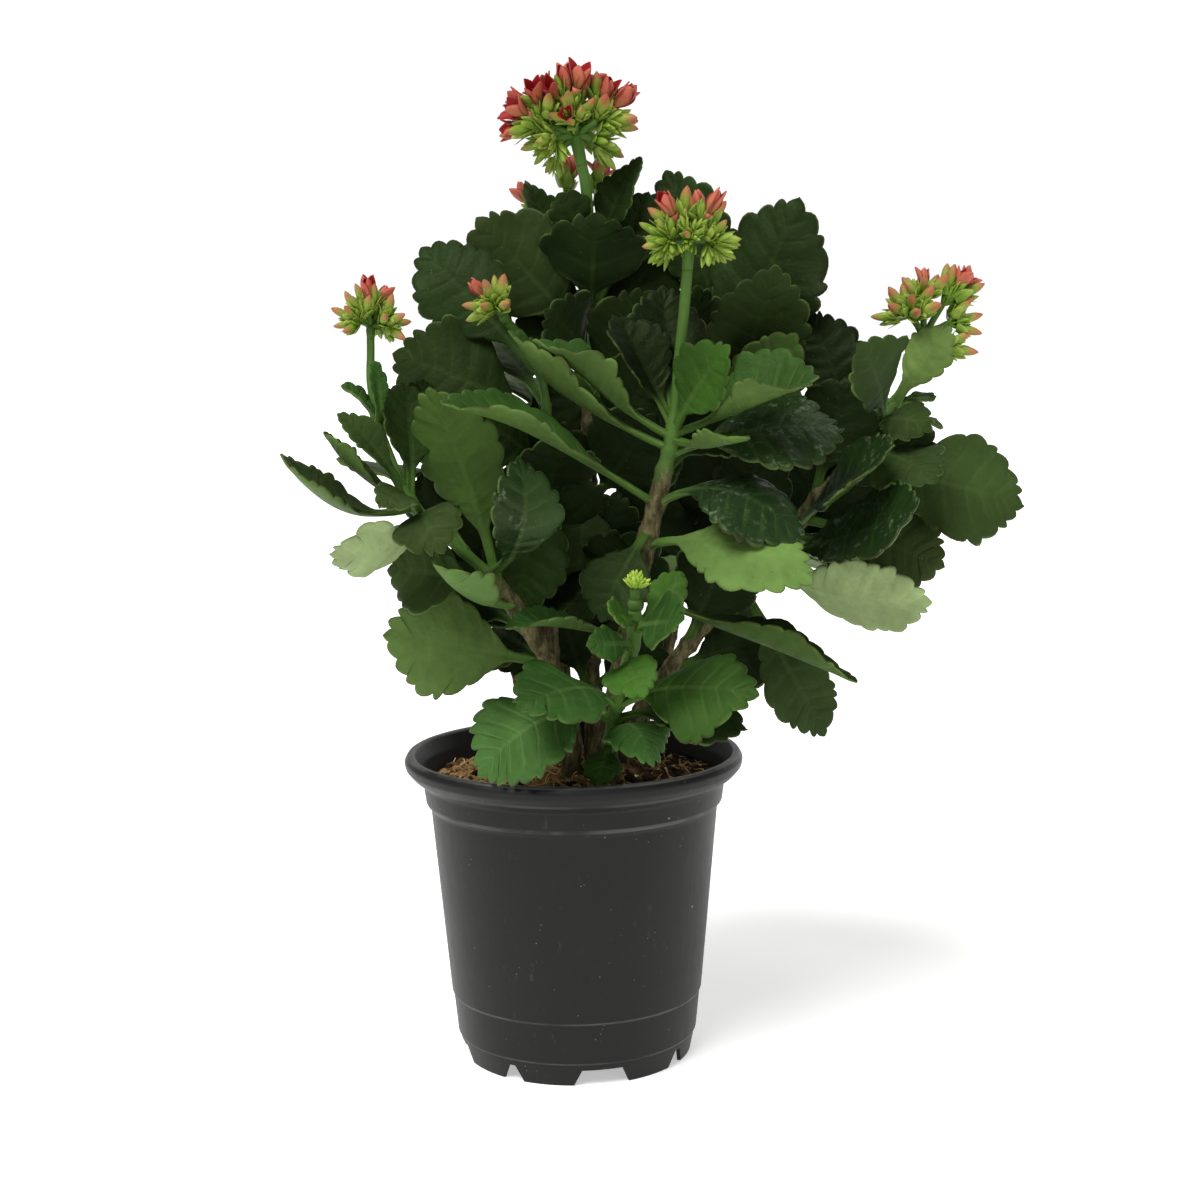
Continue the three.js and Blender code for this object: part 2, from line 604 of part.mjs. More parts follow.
      { at: 173, tip: [40, -51, 192], width: 13, face: [2, -8, 4], arch: 2, fold: 10 },
      { at: 168, tip: [6, -78, 171], width: 13, face: [-2, -9, 3], arch: 2, fold: 0 },
      { at: 126, tip: [9, -52, 116], width: 14, face: [0, -7, 4], arch: 3, fold: 0 },
    ],
  },
  shoot_rear_right: {
    spine: [[20, 20, 116], [32, 24, 136], [44, 28, 184], [55, 30, 231], [61, 30, 258], [64, 30, 272]],
    wood: 3,
    woodTo: 240,
    green: 2.2,
    leaves: [
      { at: 251, tip: [98, 10, 311], width: 56, face: [-1, -9, 3], arch: 6, fold: -6 },
      { at: 238, tip: [73, -12, 303], width: 32, face: [4, -9, 1], arch: 2, fold: 12 },
      { at: 268, tip: [43, 32, 339], width: 28, face: [1, -9, 1], arch: 3, fold: 5 },
      { at: 226, tip: [83, -20, 273], width: 28, face: [-1, 9, 2], arch: 0, fold: 0 },
      { at: 220, tip: [107, 78, 239], width: 42, face: [2, 3, 8], arch: 8, fold: 5 },
      { at: 204, tip: [100, 86, 182], width: 42, face: [2, 3, 8], arch: 10, fold: 0 },
      { at: 200, tip: [55, 116, 159], width: 42, face: [0, 4, 8], arch: 12, fold: 0 },
      { at: 225, tip: [51, 124, 229], width: 44, face: [0, 4, 8], arch: 10, fold: 5 },
      { at: 262, tip: [83, 82, 289], width: 40, face: [2, 2, 8], arch: 6, fold: 10 },
      { at: 258, tip: [33, 100, 281], width: 36, face: [-1, 3, 8], arch: 6, fold: 10 },
      { at: 190, tip: [66, 6, 234], width: 38, face: [1, -9, 2], arch: 3, fold: 0 },
    ],
  },
  shoot_rear_left: {
    spine: [[-13, 11, 116], [-25, 36, 151], [-34, 52, 186], [-37, 62, 217], [-38, 64, 232]],
    wood: 2.8,
    woodTo: 205,
    green: 2,
    leaves: [
      { at: 176, tip: [-72, 70, 178], width: 40, face: [-2, 2, 8], arch: 10, fold: 0 },
      { at: 160, tip: [-60, 60, 152], width: 38, face: [-2, 2, 8], arch: 10, fold: 0 },
      { at: 180, tip: [-24, 118, 160], width: 42, face: [0, 4, 8], arch: 12, fold: 0 },
      { at: 206, tip: [-61, 92, 215], width: 40, face: [-2, 3, 8], arch: 8, fold: 5 },
      { at: 208, tip: [-19, 122, 204], width: 40, face: [1, 4, 8], arch: 10, fold: 5 },
      { at: 231, tip: [-66, 72, 244], width: 30, face: [-2, 1, 8], arch: 4, fold: 12 },
      { at: 232, tip: [-22, 104, 244], width: 30, face: [1, 2, 8], arch: 4, fold: 12 },
    ],
  },
};

// ---- Flower heads ----

function frameAlong(axis) {
  const along = axis.clone().normalize();
  const helper = Math.abs(along.z) > 0.9 ? new THREE.Vector3(1, 0, 0) : new THREE.Vector3(0, 0, 1);
  const right = along.clone().cross(helper).normalize();
  return { along, right, up: along.clone().cross(right) };
}

// A thin pyramid that widens from the hub to a ring of points at a distance along its axis.
function makeStalk(hub, axis, distance, radius, sides) {
  const { right, up } = frameAlong(axis);
  const around = (reach, width, turn) =>
    hub
      .clone()
      .addScaledVector(axis, reach)
      .addScaledVector(right, width * Math.cos(turn))
      .addScaledVector(up, width * Math.sin(turn));
  const step = (2 * Math.PI) / sides;
  const points = [hub.clone()];
  const faces = [];
  for (let i = 0; i < sides; i++) {
    points.push(around(distance, radius, i * step));
    faces.push([0, 1 + ((i + 1) % sides), 1 + i]);
  }
  return { points, faces, around, step };
}

// A bud of three sides, on a stalk as wide as its belly.
function makeBud(hub, axis, reach, size) {
  const belly = reach - BELLY_SHARE * Math.min(BUD_LENGTH * size, MOST_BUD_SHARE * reach);
  const { points, faces, around } = makeStalk(hub, axis, belly, BUD_RADIUS * size, 3);
  const tip = points.push(around(reach, 0, 0)) - 1;
  for (let i = 0; i < 3; i++) {
    faces.push([1 + i, 1 + ((i + 1) % 3), tip]);
  }
  return solidOfFaces(points, faces);
}

// Four pointed petals round a throat.
function makeFlower(hub, axis, reach, open) {
  const mouth = reach - PETAL_LENGTH;
  const { points, faces, around, step } = makeStalk(hub, axis, mouth, BUD_RADIUS, 4);
  const spread = BUD_RADIUS + PETAL_LENGTH * Math.sin(open * DEG);
  const nickReach = mouth + NICK_SHARE * PETAL_LENGTH;
  for (let i = 0; i < 4; i++) points.push(around(reach, spread, i * step));
  for (let i = 0; i < 4; i++) points.push(around(nickReach, NICK_SPREAD * spread, (i + 0.5) * step));
  const throat = points.push(around(mouth + 1, 0, 0)) - 1;
  for (let i = 0; i < 4; i++) {
    const next = (i + 1) % 4;
    const [belly, bellyNext, tip, tipNext, nick] = [1 + i, 1 + next, 5 + i, 5 + next, 9 + i];
    faces.push([belly, nick, tip], [belly, bellyNext, nick], [bellyNext, tipNext, nick]);
    faces.push([throat, tip, nick], [throat, nick, tipNext]);
  }
  return solidOfFaces(points, faces);
}

// A dome: flowers at its middle and buds round them, all on stalks out of a small core.
function makeDome(neck, { hub, axis = hub, reach, spread, buds, flowers = 0, open = 22, size = 1 }) {
  const centre = neck.clone().add(vector(hub));
  const { along, right, up } = frameAlong(vector(axis));
  const count = buds + flowers;
  const core = new THREE.OctahedronGeometry(CORE_RADIUS, 0);
  core.translate(centre.x, centre.y, centre.z);
  const pieces = [solidOf(core)];
  for (let i = 0; i < count; i++) {
    const lean = Math.acos(mix(1, Math.cos(spread * DEG), (i + 0.4) / count));
    const turn = i * GOLDEN_TURN + 0.5;
    const sideways = right.clone().multiplyScalar(Math.cos(turn)).addScaledVector(up, Math.sin(turn));
    const aim = along.clone().multiplyScalar(Math.cos(lean)).addScaledVector(sideways, Math.sin(lean));
    const length = reach * (1 + REACH_SPREAD * Math.sin(7 * i));
    pieces.push(i < flowers ? makeFlower(centre, aim, length, open) : makeBud(centre, aim, length, size));
  }
  return joined(pieces);
}

// A head stands on the end of its shoot: a short neck, branches to its hubs, and the domes.
function makeHead({ on, domes }) {
  const { spine, green } = SHOOTS[on];
  const [before, end] = spine.slice(-2).map(vector);
  const along = end.clone().sub(before).normalize();
  const foot = end.clone().addScaledVector(along, NECK_CLEARANCE);
  const neck = foot.clone().addScaledVector(along, NECK_HEIGHT);
  const above = neck.clone().addScaledVector(along, 1);
  const pieces = [bar([foot, above], green, 1)];
  for (const dome of domes) {
    pieces.push(bar([neck, neck.clone().add(vector(dome.hub))], BRANCH_RADIUS, 1, 5));
    pieces.push(makeDome(neck, dome));
  }
  return joined(pieces);
}

// Each head: the shoot that it stands on, and its domes. A dome's hub is counted from the neck,
// its stalks lean up to spread degrees from its axis, and end at reach from the hub.
const HEADS = {
  head_front: {
    on: "shoot_main",
    domes: [{ hub: [0, -1, 4], reach: 18, spread: 105, buds: 16, flowers: 4 }],
  },
  head_left: {
    on: "shoot_left",
    domes: [{ hub: [1, -1, 4], reach: 15, spread: 100, buds: 12, flowers: 3, size: 0.9 }],
  },
  head_right: {
    on: "shoot_right",
    domes: [
      { hub: [-5, -3, 9], reach: 14, spread: 75, buds: 7, size: 0.9 },
      { hub: [2, 1, 15], reach: 16, spread: 70, buds: 5, flowers: 2 },
      { hub: [9, 1, 7], axis: [9, 1, 4], reach: 14, spread: 35, buds: 3, size: 0.85 },
      { hub: [6, 0, -4], axis: [9, 0, 0], reach: 15, spread: 30, buds: 2, size: 0.9 },
    ],
  },
  head_top: {
    on: "shoot_tall",
    domes: [{ hub: [-2, 1, 9], reach: 28, spread: 108, buds: 22, flowers: 9, open: 20 }],
  },
  head_small: {
    on: "shoot_upper_left",
    domes: [{ hub: [-2, -1, 3], reach: 13, spread: 85, buds: 9, size: 0.9 }],
  },
  head_rear: {
    on: "shoot_slender",
    domes: [
      { hub: [-7, 0, 2], reach: 13, spread: 30, buds: 0, flowers: 1, open: 38 },
      { hub: [0, 1, 7], reach: 13, spread: 30, buds: 1, flowers: 1, open: 38 },
      { hub: [7, 0, 5], reach: 13, spread: 30, buds: 1, flowers: 1, open: 38 },
    ],
  },
  bud_low_front: {
    on: "shoot_short",
    domes: [{ hub: [0, -1, 4.5], reach: 7, spread: 85, buds: 7, size: 0.55 }],
  },
};

// ---- The whole plant ----

const group = new THREE.Group();
group.add(meshOf("pot", makePot(), potPlastic));
group.add(meshOf("soil", makeSoil(Object.values(SHOOTS)), peat));
for (const [name, shoot] of Object.entries(SHOOTS)) {
  group.add(meshOf(name, makeShoot(shoot), foliage));
}
for (const [name, head] of Object.entries(HEADS)) {
  group.add(meshOf(name, makeHead(head), name === "bud_low_front" ? freshBud : bloom));
}

const middle = new THREE.Box3().setFromObject(group).getCenter(new THREE.Vector3());
for (const mesh of group.children) {
  mesh.position.set(-middle.x, -middle.y, 0);
}

export default group;
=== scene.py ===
"""A potted kalanchoe: the detailed pot, root ball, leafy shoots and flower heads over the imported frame."""

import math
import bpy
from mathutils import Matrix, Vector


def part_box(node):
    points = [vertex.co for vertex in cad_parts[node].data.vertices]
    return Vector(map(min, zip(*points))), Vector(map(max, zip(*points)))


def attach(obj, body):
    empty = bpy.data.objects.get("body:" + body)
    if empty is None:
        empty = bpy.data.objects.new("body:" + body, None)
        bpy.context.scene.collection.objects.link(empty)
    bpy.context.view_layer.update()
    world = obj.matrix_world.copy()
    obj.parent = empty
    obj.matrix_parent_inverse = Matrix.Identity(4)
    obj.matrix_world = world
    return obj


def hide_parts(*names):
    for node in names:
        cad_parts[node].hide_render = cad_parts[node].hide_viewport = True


bl_info = {
    "name": "Potted kalanchoe",
    "version": (1, 0, 0),
    "blender": (4, 5, 0),
    "location": "3D View > Sidebar > Kalanchoe",
    "description": "Builds the pot, root ball, leafy shoots and flower heads of a potted kalanchoe",
    "category": "Add Mesh",
}

import bpy
import numpy as np
from bpy.props import FloatProperty, FloatVectorProperty, IntProperty, PointerProperty
from mathutils import Matrix, Vector, noise

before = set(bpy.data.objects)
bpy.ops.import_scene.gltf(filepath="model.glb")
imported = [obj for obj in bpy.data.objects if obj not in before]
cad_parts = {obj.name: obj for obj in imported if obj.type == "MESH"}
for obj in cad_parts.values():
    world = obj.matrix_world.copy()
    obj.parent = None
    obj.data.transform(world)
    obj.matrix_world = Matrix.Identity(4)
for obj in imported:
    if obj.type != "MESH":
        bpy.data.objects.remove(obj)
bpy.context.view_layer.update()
MM = 0.001
LOW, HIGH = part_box("pot")
POT_CENTRE = np.array([(LOW.x + HIGH.x) / 2, (LOW.y + HIGH.y) / 2, 0])


# ---- The plant's plan, in millimetres from the middle of the pot's foot ----
# A shoot: radius of its woody part and the height that the wood reaches, radius of the green part above,
# the line of its stem, and its leaves.
# A leaf: height on the stem, tip, width, where its upper side faces, arch, fold in degrees, look.
# Leaves of the inner look sit deep inside the plant; their near-black colour is painted shade.
SHOOTS = {
    "shoot_main": {"wood": 3.4, "wood_to": 238, "green": 1.95, "spine": [
        (10, -10, 116), (13, -13, 129), (19, -20, 158), (28, -28, 200), (32, -32, 217), (36, -35, 234),
        (38, -36, 243), (40, -37, 267), (42, -37, 286), (43, -37, 298),
    ], "leaves": [
        (243, (57, -58, 272), 26, (-4, -9, 3), 3, 14, "young"),
        (241, (87, -58, 261), 38, (-1, -3, 9), 0, 34, "leafy"),
        (240, (-7, -50, 278), 27, (6, 0, 8), -3, 32, "leafy"),
        (236, (-24, -44, 273), 28, (5, 0, 8), -2, 32, "leafy"),
        (239, (61, -66, 243), 17, (1, -3, 9), -3, 25, "young"),
        (216, (-41, -68, 258), 29, (4, 0, 8), 2, 34, "leafy"),
        (217, (82, -60, 205), 36, (0, -5, 8), 12, -8, "glossy"),
        (201, (83, -78, 194), 34, (1, -8, 6), 8, -10, "light"),
        (182, (101, -62, 156), 26, (4, -1, 9), 0, 26, "shaded"),
        (205, (11, -46, 175), 28, (-3, -9, 2), 4, 10, "shaded"),
        (246, (35, -16, 294), 30, (0, -9, 1), -3, 15, "inner"),
        (244, (18, -24, 284), 26, (5, -7, 3), 0, 30, "inner"),
        (235, (99, -34, 243), 44, (-1, -6, 8), 4, -8, "glossy"),
        (165, (-22, -61, 177), 18, (0, -1, 9), 2, 25, "leafy"),
        (228, (62, 2, 250), 34, (0, -9, 2), 2, 5, "inner"),
    ]},
    "shoot_left": {"wood": 3, "wood_to": 200, "green": 1.4, "spine": [
        (-1, -17, 116), (0, -19, 128), (-5, -26, 146), (-12, -34, 165), (-21, -40, 181), (-32, -45, 195),
        (-42, -47, 204), (-51, -48, 213), (-57, -48, 220), (-61, -46, 230), (-67, -43, 246),
        (-70, -39, 260), (-70, -36, 270), (-70, -35, 275),
    ], "leaves": [
        (192, (-16, -61, 235), 27, (5, -8, 2), 12, 14, "glossy"),
        (190, (-48, -54, 258), 34, (2, 9, 2), 7, 10, "back"),
        (220, (-60, -28, 259), 25, (5, -9, 1), 4, 12, "shaded"),
        (224, (-53, -16, 260), 18, (2, -8, 2), 2, 10, "shaded"),
        (223, (-78, -63, 251), 13, (2, -7, 6), 2, 22, "outer"),
        (219, (-86, -52, 243), 16, (4, -1, 8), -2, 32, "outer"),
        (217, (-98, -52, 237), 25, (2, 0, 9), -10, 30, "outer"),
        (216, (-64, -71, 221), 16, (0, -6, 7), 4, 0, "outer"),
        (211, (-82, -67, 202), 33, (3, 7, 6), -4, 0, "pale"),
        (213, (-43, -74, 204), 25, (-1, -9, 4), 7, 6, "outer"),
        (189, (-66, -36, 193), 30, (-1, -9, 3), 5, 0, "outer"),
        (181, (-45, -72, 199), 34, (2, -1, 9), -4, 34, "light"),
        (178, (-62, -8, 196), 28, (0, 1, 9), 0, 5, "outer"),
        (158, (-68, -33, 169), 39, (-2, -9, 2), 6, -5, "light"),
        (246, (-68, -50, 268), 7, (5, -7, 1), 2, 10, "leafy"),
        (247, (-79, -48, 260), 7, (3, -4, 8), 2, 20, "leafy"),
        (219, (-76, 8, 226), 34, (0, 3, 8), 6, 5, "outer"),
        (165, (-40, 24, 165), 34, (-2, 1, 8), 6, 5, "outer"),
        (200, (-55, -22, 227), 24, (-1, -9, 1), 2, 0, "inner"),
        (170, (-56, 10, 186), 36, (-1, -9, 2), 3, 0, "inner"),
        (158, (-32, 4, 166), 32, (-1, -9, 2), 3, 0, "inner"),
    ]},
    "shoot_right": {"wood": 3, "wood_to": 236, "green": 2.1, "spine": [
        (19, 3, 116), (28, 4, 136), (49, 4, 163), (72, 3, 188), (95, 1, 215), (112, 0, 235), (122, 2, 248),
        (127, 4, 256), (131, 6, 264), (133, 7, 270),
    ], "leaves": [
        (228, (170, -6, 211), 43, (-1, -9, 3), 4, -5, "outer"),
        (243, (106, -24, 272), 32, (5, -8, 1), 3, 8, "outer"),
        (241, (133, -19, 240), 22, (3, -9, 3), 6, 0, "outer"),
        (231, (132, -35, 222), 30, (1, -7, 6), 5, 0, "outer"),
        (207, (140, -5, 188), 34, (2, -9, 2), 5, 0, "outer"),
        (188, (132, -27, 176), 38, (-1, 8, 6), -3, 0, "pale"),
        (204, (118, -44, 234), 34, (-2, -6, 7), 2, 14, "glossy"),
        (192, (125, -54, 216), 36, (-1, -8, 7), -3, 10, "glossy"),
        (180, (96, -13, 124), 25, (0, -9, 1), 6, 0, "outer"),
        (214, (106, 3, 258), 33, (-2, -8, 5), 4, 0, "inner"),
        (250, (138, 2, 251), 10, (2, -3, 8), 1, 10, "young"),
        (248, (142, -4, 278), 19, (-3, -9, 2), 2, 5, "light"),
        (236, (138, 48, 242), 34, (2, 2, 8), 5, 10, "outer"),
        (214, (127, 66, 222), 38, (1, 0, 8), 4, 5, "outer"),
        (190, (104, 58, 178), 36, (1, 1, 8), 5, 0, "outer"),
        (158, (62, -6, 200), 34, (1, -9, 2), 3, 0, "inner"),
        (150, (78, 8, 160), 34, (1, -9, 2), 4, 0, "inner"),
        (190, (100, 34, 226), 36, (1, -9, 2), 3, 0, "inner"),
        (200, (122, 24, 190), 34, (1, -9, 2), 3, 0, "inner"),
        (234, (92, 12, 283), 28, (-1, -9, 2), 3, 0, "inner"),
        (216, (136, -2, 238), 26, (0, -9, 1), 2, 0, "inner"),
        (200, (119, 10, 231), 32, (1, -9, 1), 2, 0, "inner"),
        (176, (73, -1, 238), 30, (0, -9, 1), 2, 0, "inner"),
    ]},
    "shoot_tall": {"wood": 3.2, "wood_to": 262, "green": 2.1, "spine": [
        (8, 13, 116), (7, 16, 158), (7, 20, 212), (8, 22, 270), (8, 22, 305), (8, 21, 322), (7, 20, 334),
        (6, 20, 339),
    ], "leaves": [
        (275, (-33, 17, 319), 46, (-2, -9, 3), 5, -5, "outer"),
        (285, (11, 4, 321), 42, (0, -9, 1), 3, -5, "shaded"),
        (291, (-18, 38, 334), 22, (7, -4, 4), 0, 25, "outer"),
        (300, (28, 24, 343), 20, (-6, -7, 3), 2, 12, "shaded"),
        (265, (-8, -6, 285), 31, (0, -8, 4), 3, 5, "shaded"),
        (250, (32, 14, 292), 34, (1, -9, 2), 3, 5, "shaded"),
        (312, (-3, 16, 329), 18, (0, -9, 2), 2, 5, "shaded"),
        (284, (31, 26, 330), 24, (0, -9, 1), 2, 5, "shaded"),
        (258, (-14, 24, 300), 28, (0, -9, 1), 2, 0, "inner"),
        (285, (33, 82, 310), 40, (1, 3, 8), 6, 10, "outer"),
        (212, (33, 0, 246), 40, (1, -9, 2), 3, 0, "inner"),
        (186, (-10, 2, 222), 38, (-1, -9, 2), 3, 0, "inner"),
        (168, (30, -2, 200), 36, (1, -9, 2), 3, 0, "inner"),
        (190, (46, 22, 216), 38, (1, -9, 2), 3, 0, "inner"),
        (150, (-28, 4, 170), 38, (-1, -9, 2), 3, 0, "inner"),
        (140, (34, 6, 160), 36, (1, -9, 2), 3, 0, "inner"),
        (138, (-8, 8, 182), 34, (0, -9, 1), 2, 0, "inner"),
        (196, (-14, 14, 244), 36, (-1, -9, 1), 2, 0, "inner"),
        (208, (-4, 30, 262), 34, (0, -9, 1), 2, 0, "inner"),
        (176, (18, 10, 216), 28, (0, -9, 1), 2, 0, "inner"),
        (226, (2, -6, 168), 32, (-1, -9, 0), 3, 5, "shaded"),
        (238, (35, 16, 262), 36, (1, -9, 2), 3, 0, "inner"),
        (276, (38, 34, 308), 34, (1, -9, 2), 3, 0, "inner"),
    ]},
    "shoot_upper_left": {"wood": 2.8, "wood_to": 232, "green": 1.6, "spine": [
        (-3, 1, 116), (-8, 0, 160), (-10, -3, 207), (-8, -7, 245), (-12, -14, 268), (-18, -21, 277),
        (-21, -25, 281),
    ], "leaves": [
        (243, (-65, -2, 270), 42, (-1, -8, 4), 8, -5, "shaded"),
        (225, (-38, -27, 249), 29, (0, -7, 6), 4, 0, "shaded"),
        (263, (-55, 8, 310), 34, (-1, -9, 3), 4, -5, "shaded"),
        (216, (-3, -26, 239), 36, (2, -9, 2), 2, 8, "inner"),
        (205, (-38, 2, 215), 38, (-2, -8, 4), 4, 0, "inner"),
        (175, (2, -24, 178), 32, (1, -8, 4), 5, 5, "inner"),
        (180, (-42, -4, 214), 34, (-1, -9, 2), 3, 0, "inner"),
        (165, (-24, 10, 200), 34, (-1, -9, 2), 3, 0, "inner"),
        (232, (-20, -22, 174), 32, (-1, -9, 0), 3, 5, "shaded"),
        (185, (-54, 52, 194), 38, (-2, 2, 8), 8, 5, "outer"),
        (226, (-49, 58, 238), 40, (-2, 3, 8), 8, 5, "outer"),
        (250, (-40, 52, 278), 36, (-2, 2, 8), 5, 10, "outer"),
    ]},
    "shoot_slender": {"wood": 2.4, "wood_to": 200, "green": 1.5, "spine": [
        (-2, 24, 116), (-5, 36, 171), (-6, 42, 231), (-5, 44, 278), (-2, 44, 305), (-1, 42, 317),
    ], "leaves": [
        (238, (-46, 96, 262), 36, (-2, 3, 8), 8, 5, "outer"),
        (234, (33, 106, 264), 36, (2, 3, 8), 8, 5, "outer"),
        (266, (-5, 110, 297), 32, (0, 4, 8), 6, 5, "outer"),
    ]},
    "shoot_short": {"wood": 3.6, "wood_to": 128, "green": 2.3, "spine": [
        (13, -24, 116), (14, -29, 126), (15, -34, 136), (17, -42, 145), (19, -50, 156), (22, -56, 166),
        (23, -60, 175), (23, -61, 180),
    ], "leaves": [
        (137, (-33, -56, 121), 42, (-2, -6, 7), 14, -6, "bright"),
        (143, (-17, -76, 147), 36, (-1, -6, 8), 9, -8, "leafy"),
        (144, (65, -68, 150), 38, (2, -7, 7), 7, -5, "leafy"),
        (137, (63, -50, 136), 30, (1, -5, 8), 6, 0, "shaded"),
        (127, (29, -57, 125), 28, (1, -4, 8), 11, -18, "bright"),
        (175, (40, -82, 179), 22, (1, -9, 4), 2, 5, "leafy"),
        (162, (25, -83, 155), 20, (-2, -9, 3), 4, 8, "young"),
        (177, (13, -78, 182), 12, (-1, -8, 5), 1, 10, "young"),
        (173, (40, -51, 192), 13, (2, -8, 4), 2, 10, "young"),
        (168, (6, -78, 171), 13, (-2, -9, 3), 2, 0, "leafy"),
        (126, (9, -52, 116), 14, (0, -7, 4), 3, 0, "leafy"),
    ]},
    "shoot_rear_right": {"wood": 3, "wood_to": 240, "green": 2.2, "spine": [
        (20, 20, 116), (32, 24, 136), (44, 28, 184), (55, 30, 231), (61, 30, 258), (64, 30, 272),
    ], "leaves": [
        (251, (87, 10, 326), 47, (-1, -9, 3), 6, -6, "shaded"),
        (238, (77, -12, 300), 38, (2, -9, 1), 2, 8, "outer"),
        (268, (39, 32, 340), 30, (1, -9, 1), 3, 5, "shaded"),
        (226, (83, -20, 273), 28, (-1, 9, 2), 0, 0, "back"),
        (220, (107, 78, 239), 42, (2, 3, 8), 8, 5, "outer"),
        (204, (100, 86, 182), 42, (2, 3, 8), 10, 0, "outer"),
        (200, (55, 116, 159), 42, (0, 4, 8), 12, 0, "outer"),
        (225, (51, 124, 229), 44, (0, 4, 8), 10, 5, "outer"),
        (262, (83, 82, 289), 40, (2, 2, 8), 6, 10, "outer"),
        (258, (33, 100, 281), 36, (-1, 3, 8), 6, 10, "outer"),
        (190, (66, 6, 234), 38, (1, -9, 2), 3, 0, "inner"),
        (236, (49, 14, 294), 28, (0, -9, 1), 2, 0, "inner"),
    ]},
    "shoot_rear_left": {"wood": 2.8, "wood_to": 205, "green": 2, "spine": [
        (-13, 11, 116), (-25, 36, 151), (-34, 52, 186), (-37, 62, 217), (-38, 64, 232),
    ], "leaves": [
        (176, (-72, 70, 178), 40, (-2, 2, 8), 10, 0, "outer"),
        (160, (-60, 60, 152), 38, (-2, 2, 8), 10, 0, "outer"),
        (180, (-24, 118, 160), 42, (0, 4, 8), 12, 0, "outer"),
        (206, (-61, 92, 215), 40, (-2, 3, 8), 8, 5, "outer"),
        (208, (-19, 122, 204), 40, (1, 4, 8), 10, 5, "outer"),
        (231, (-66, 72, 244), 30, (-2, 1, 8), 4, 12, "outer"),
        (232, (-22, 104, 244), 30, (1, 2, 8), 4, 12, "outer"),
    ]},
}

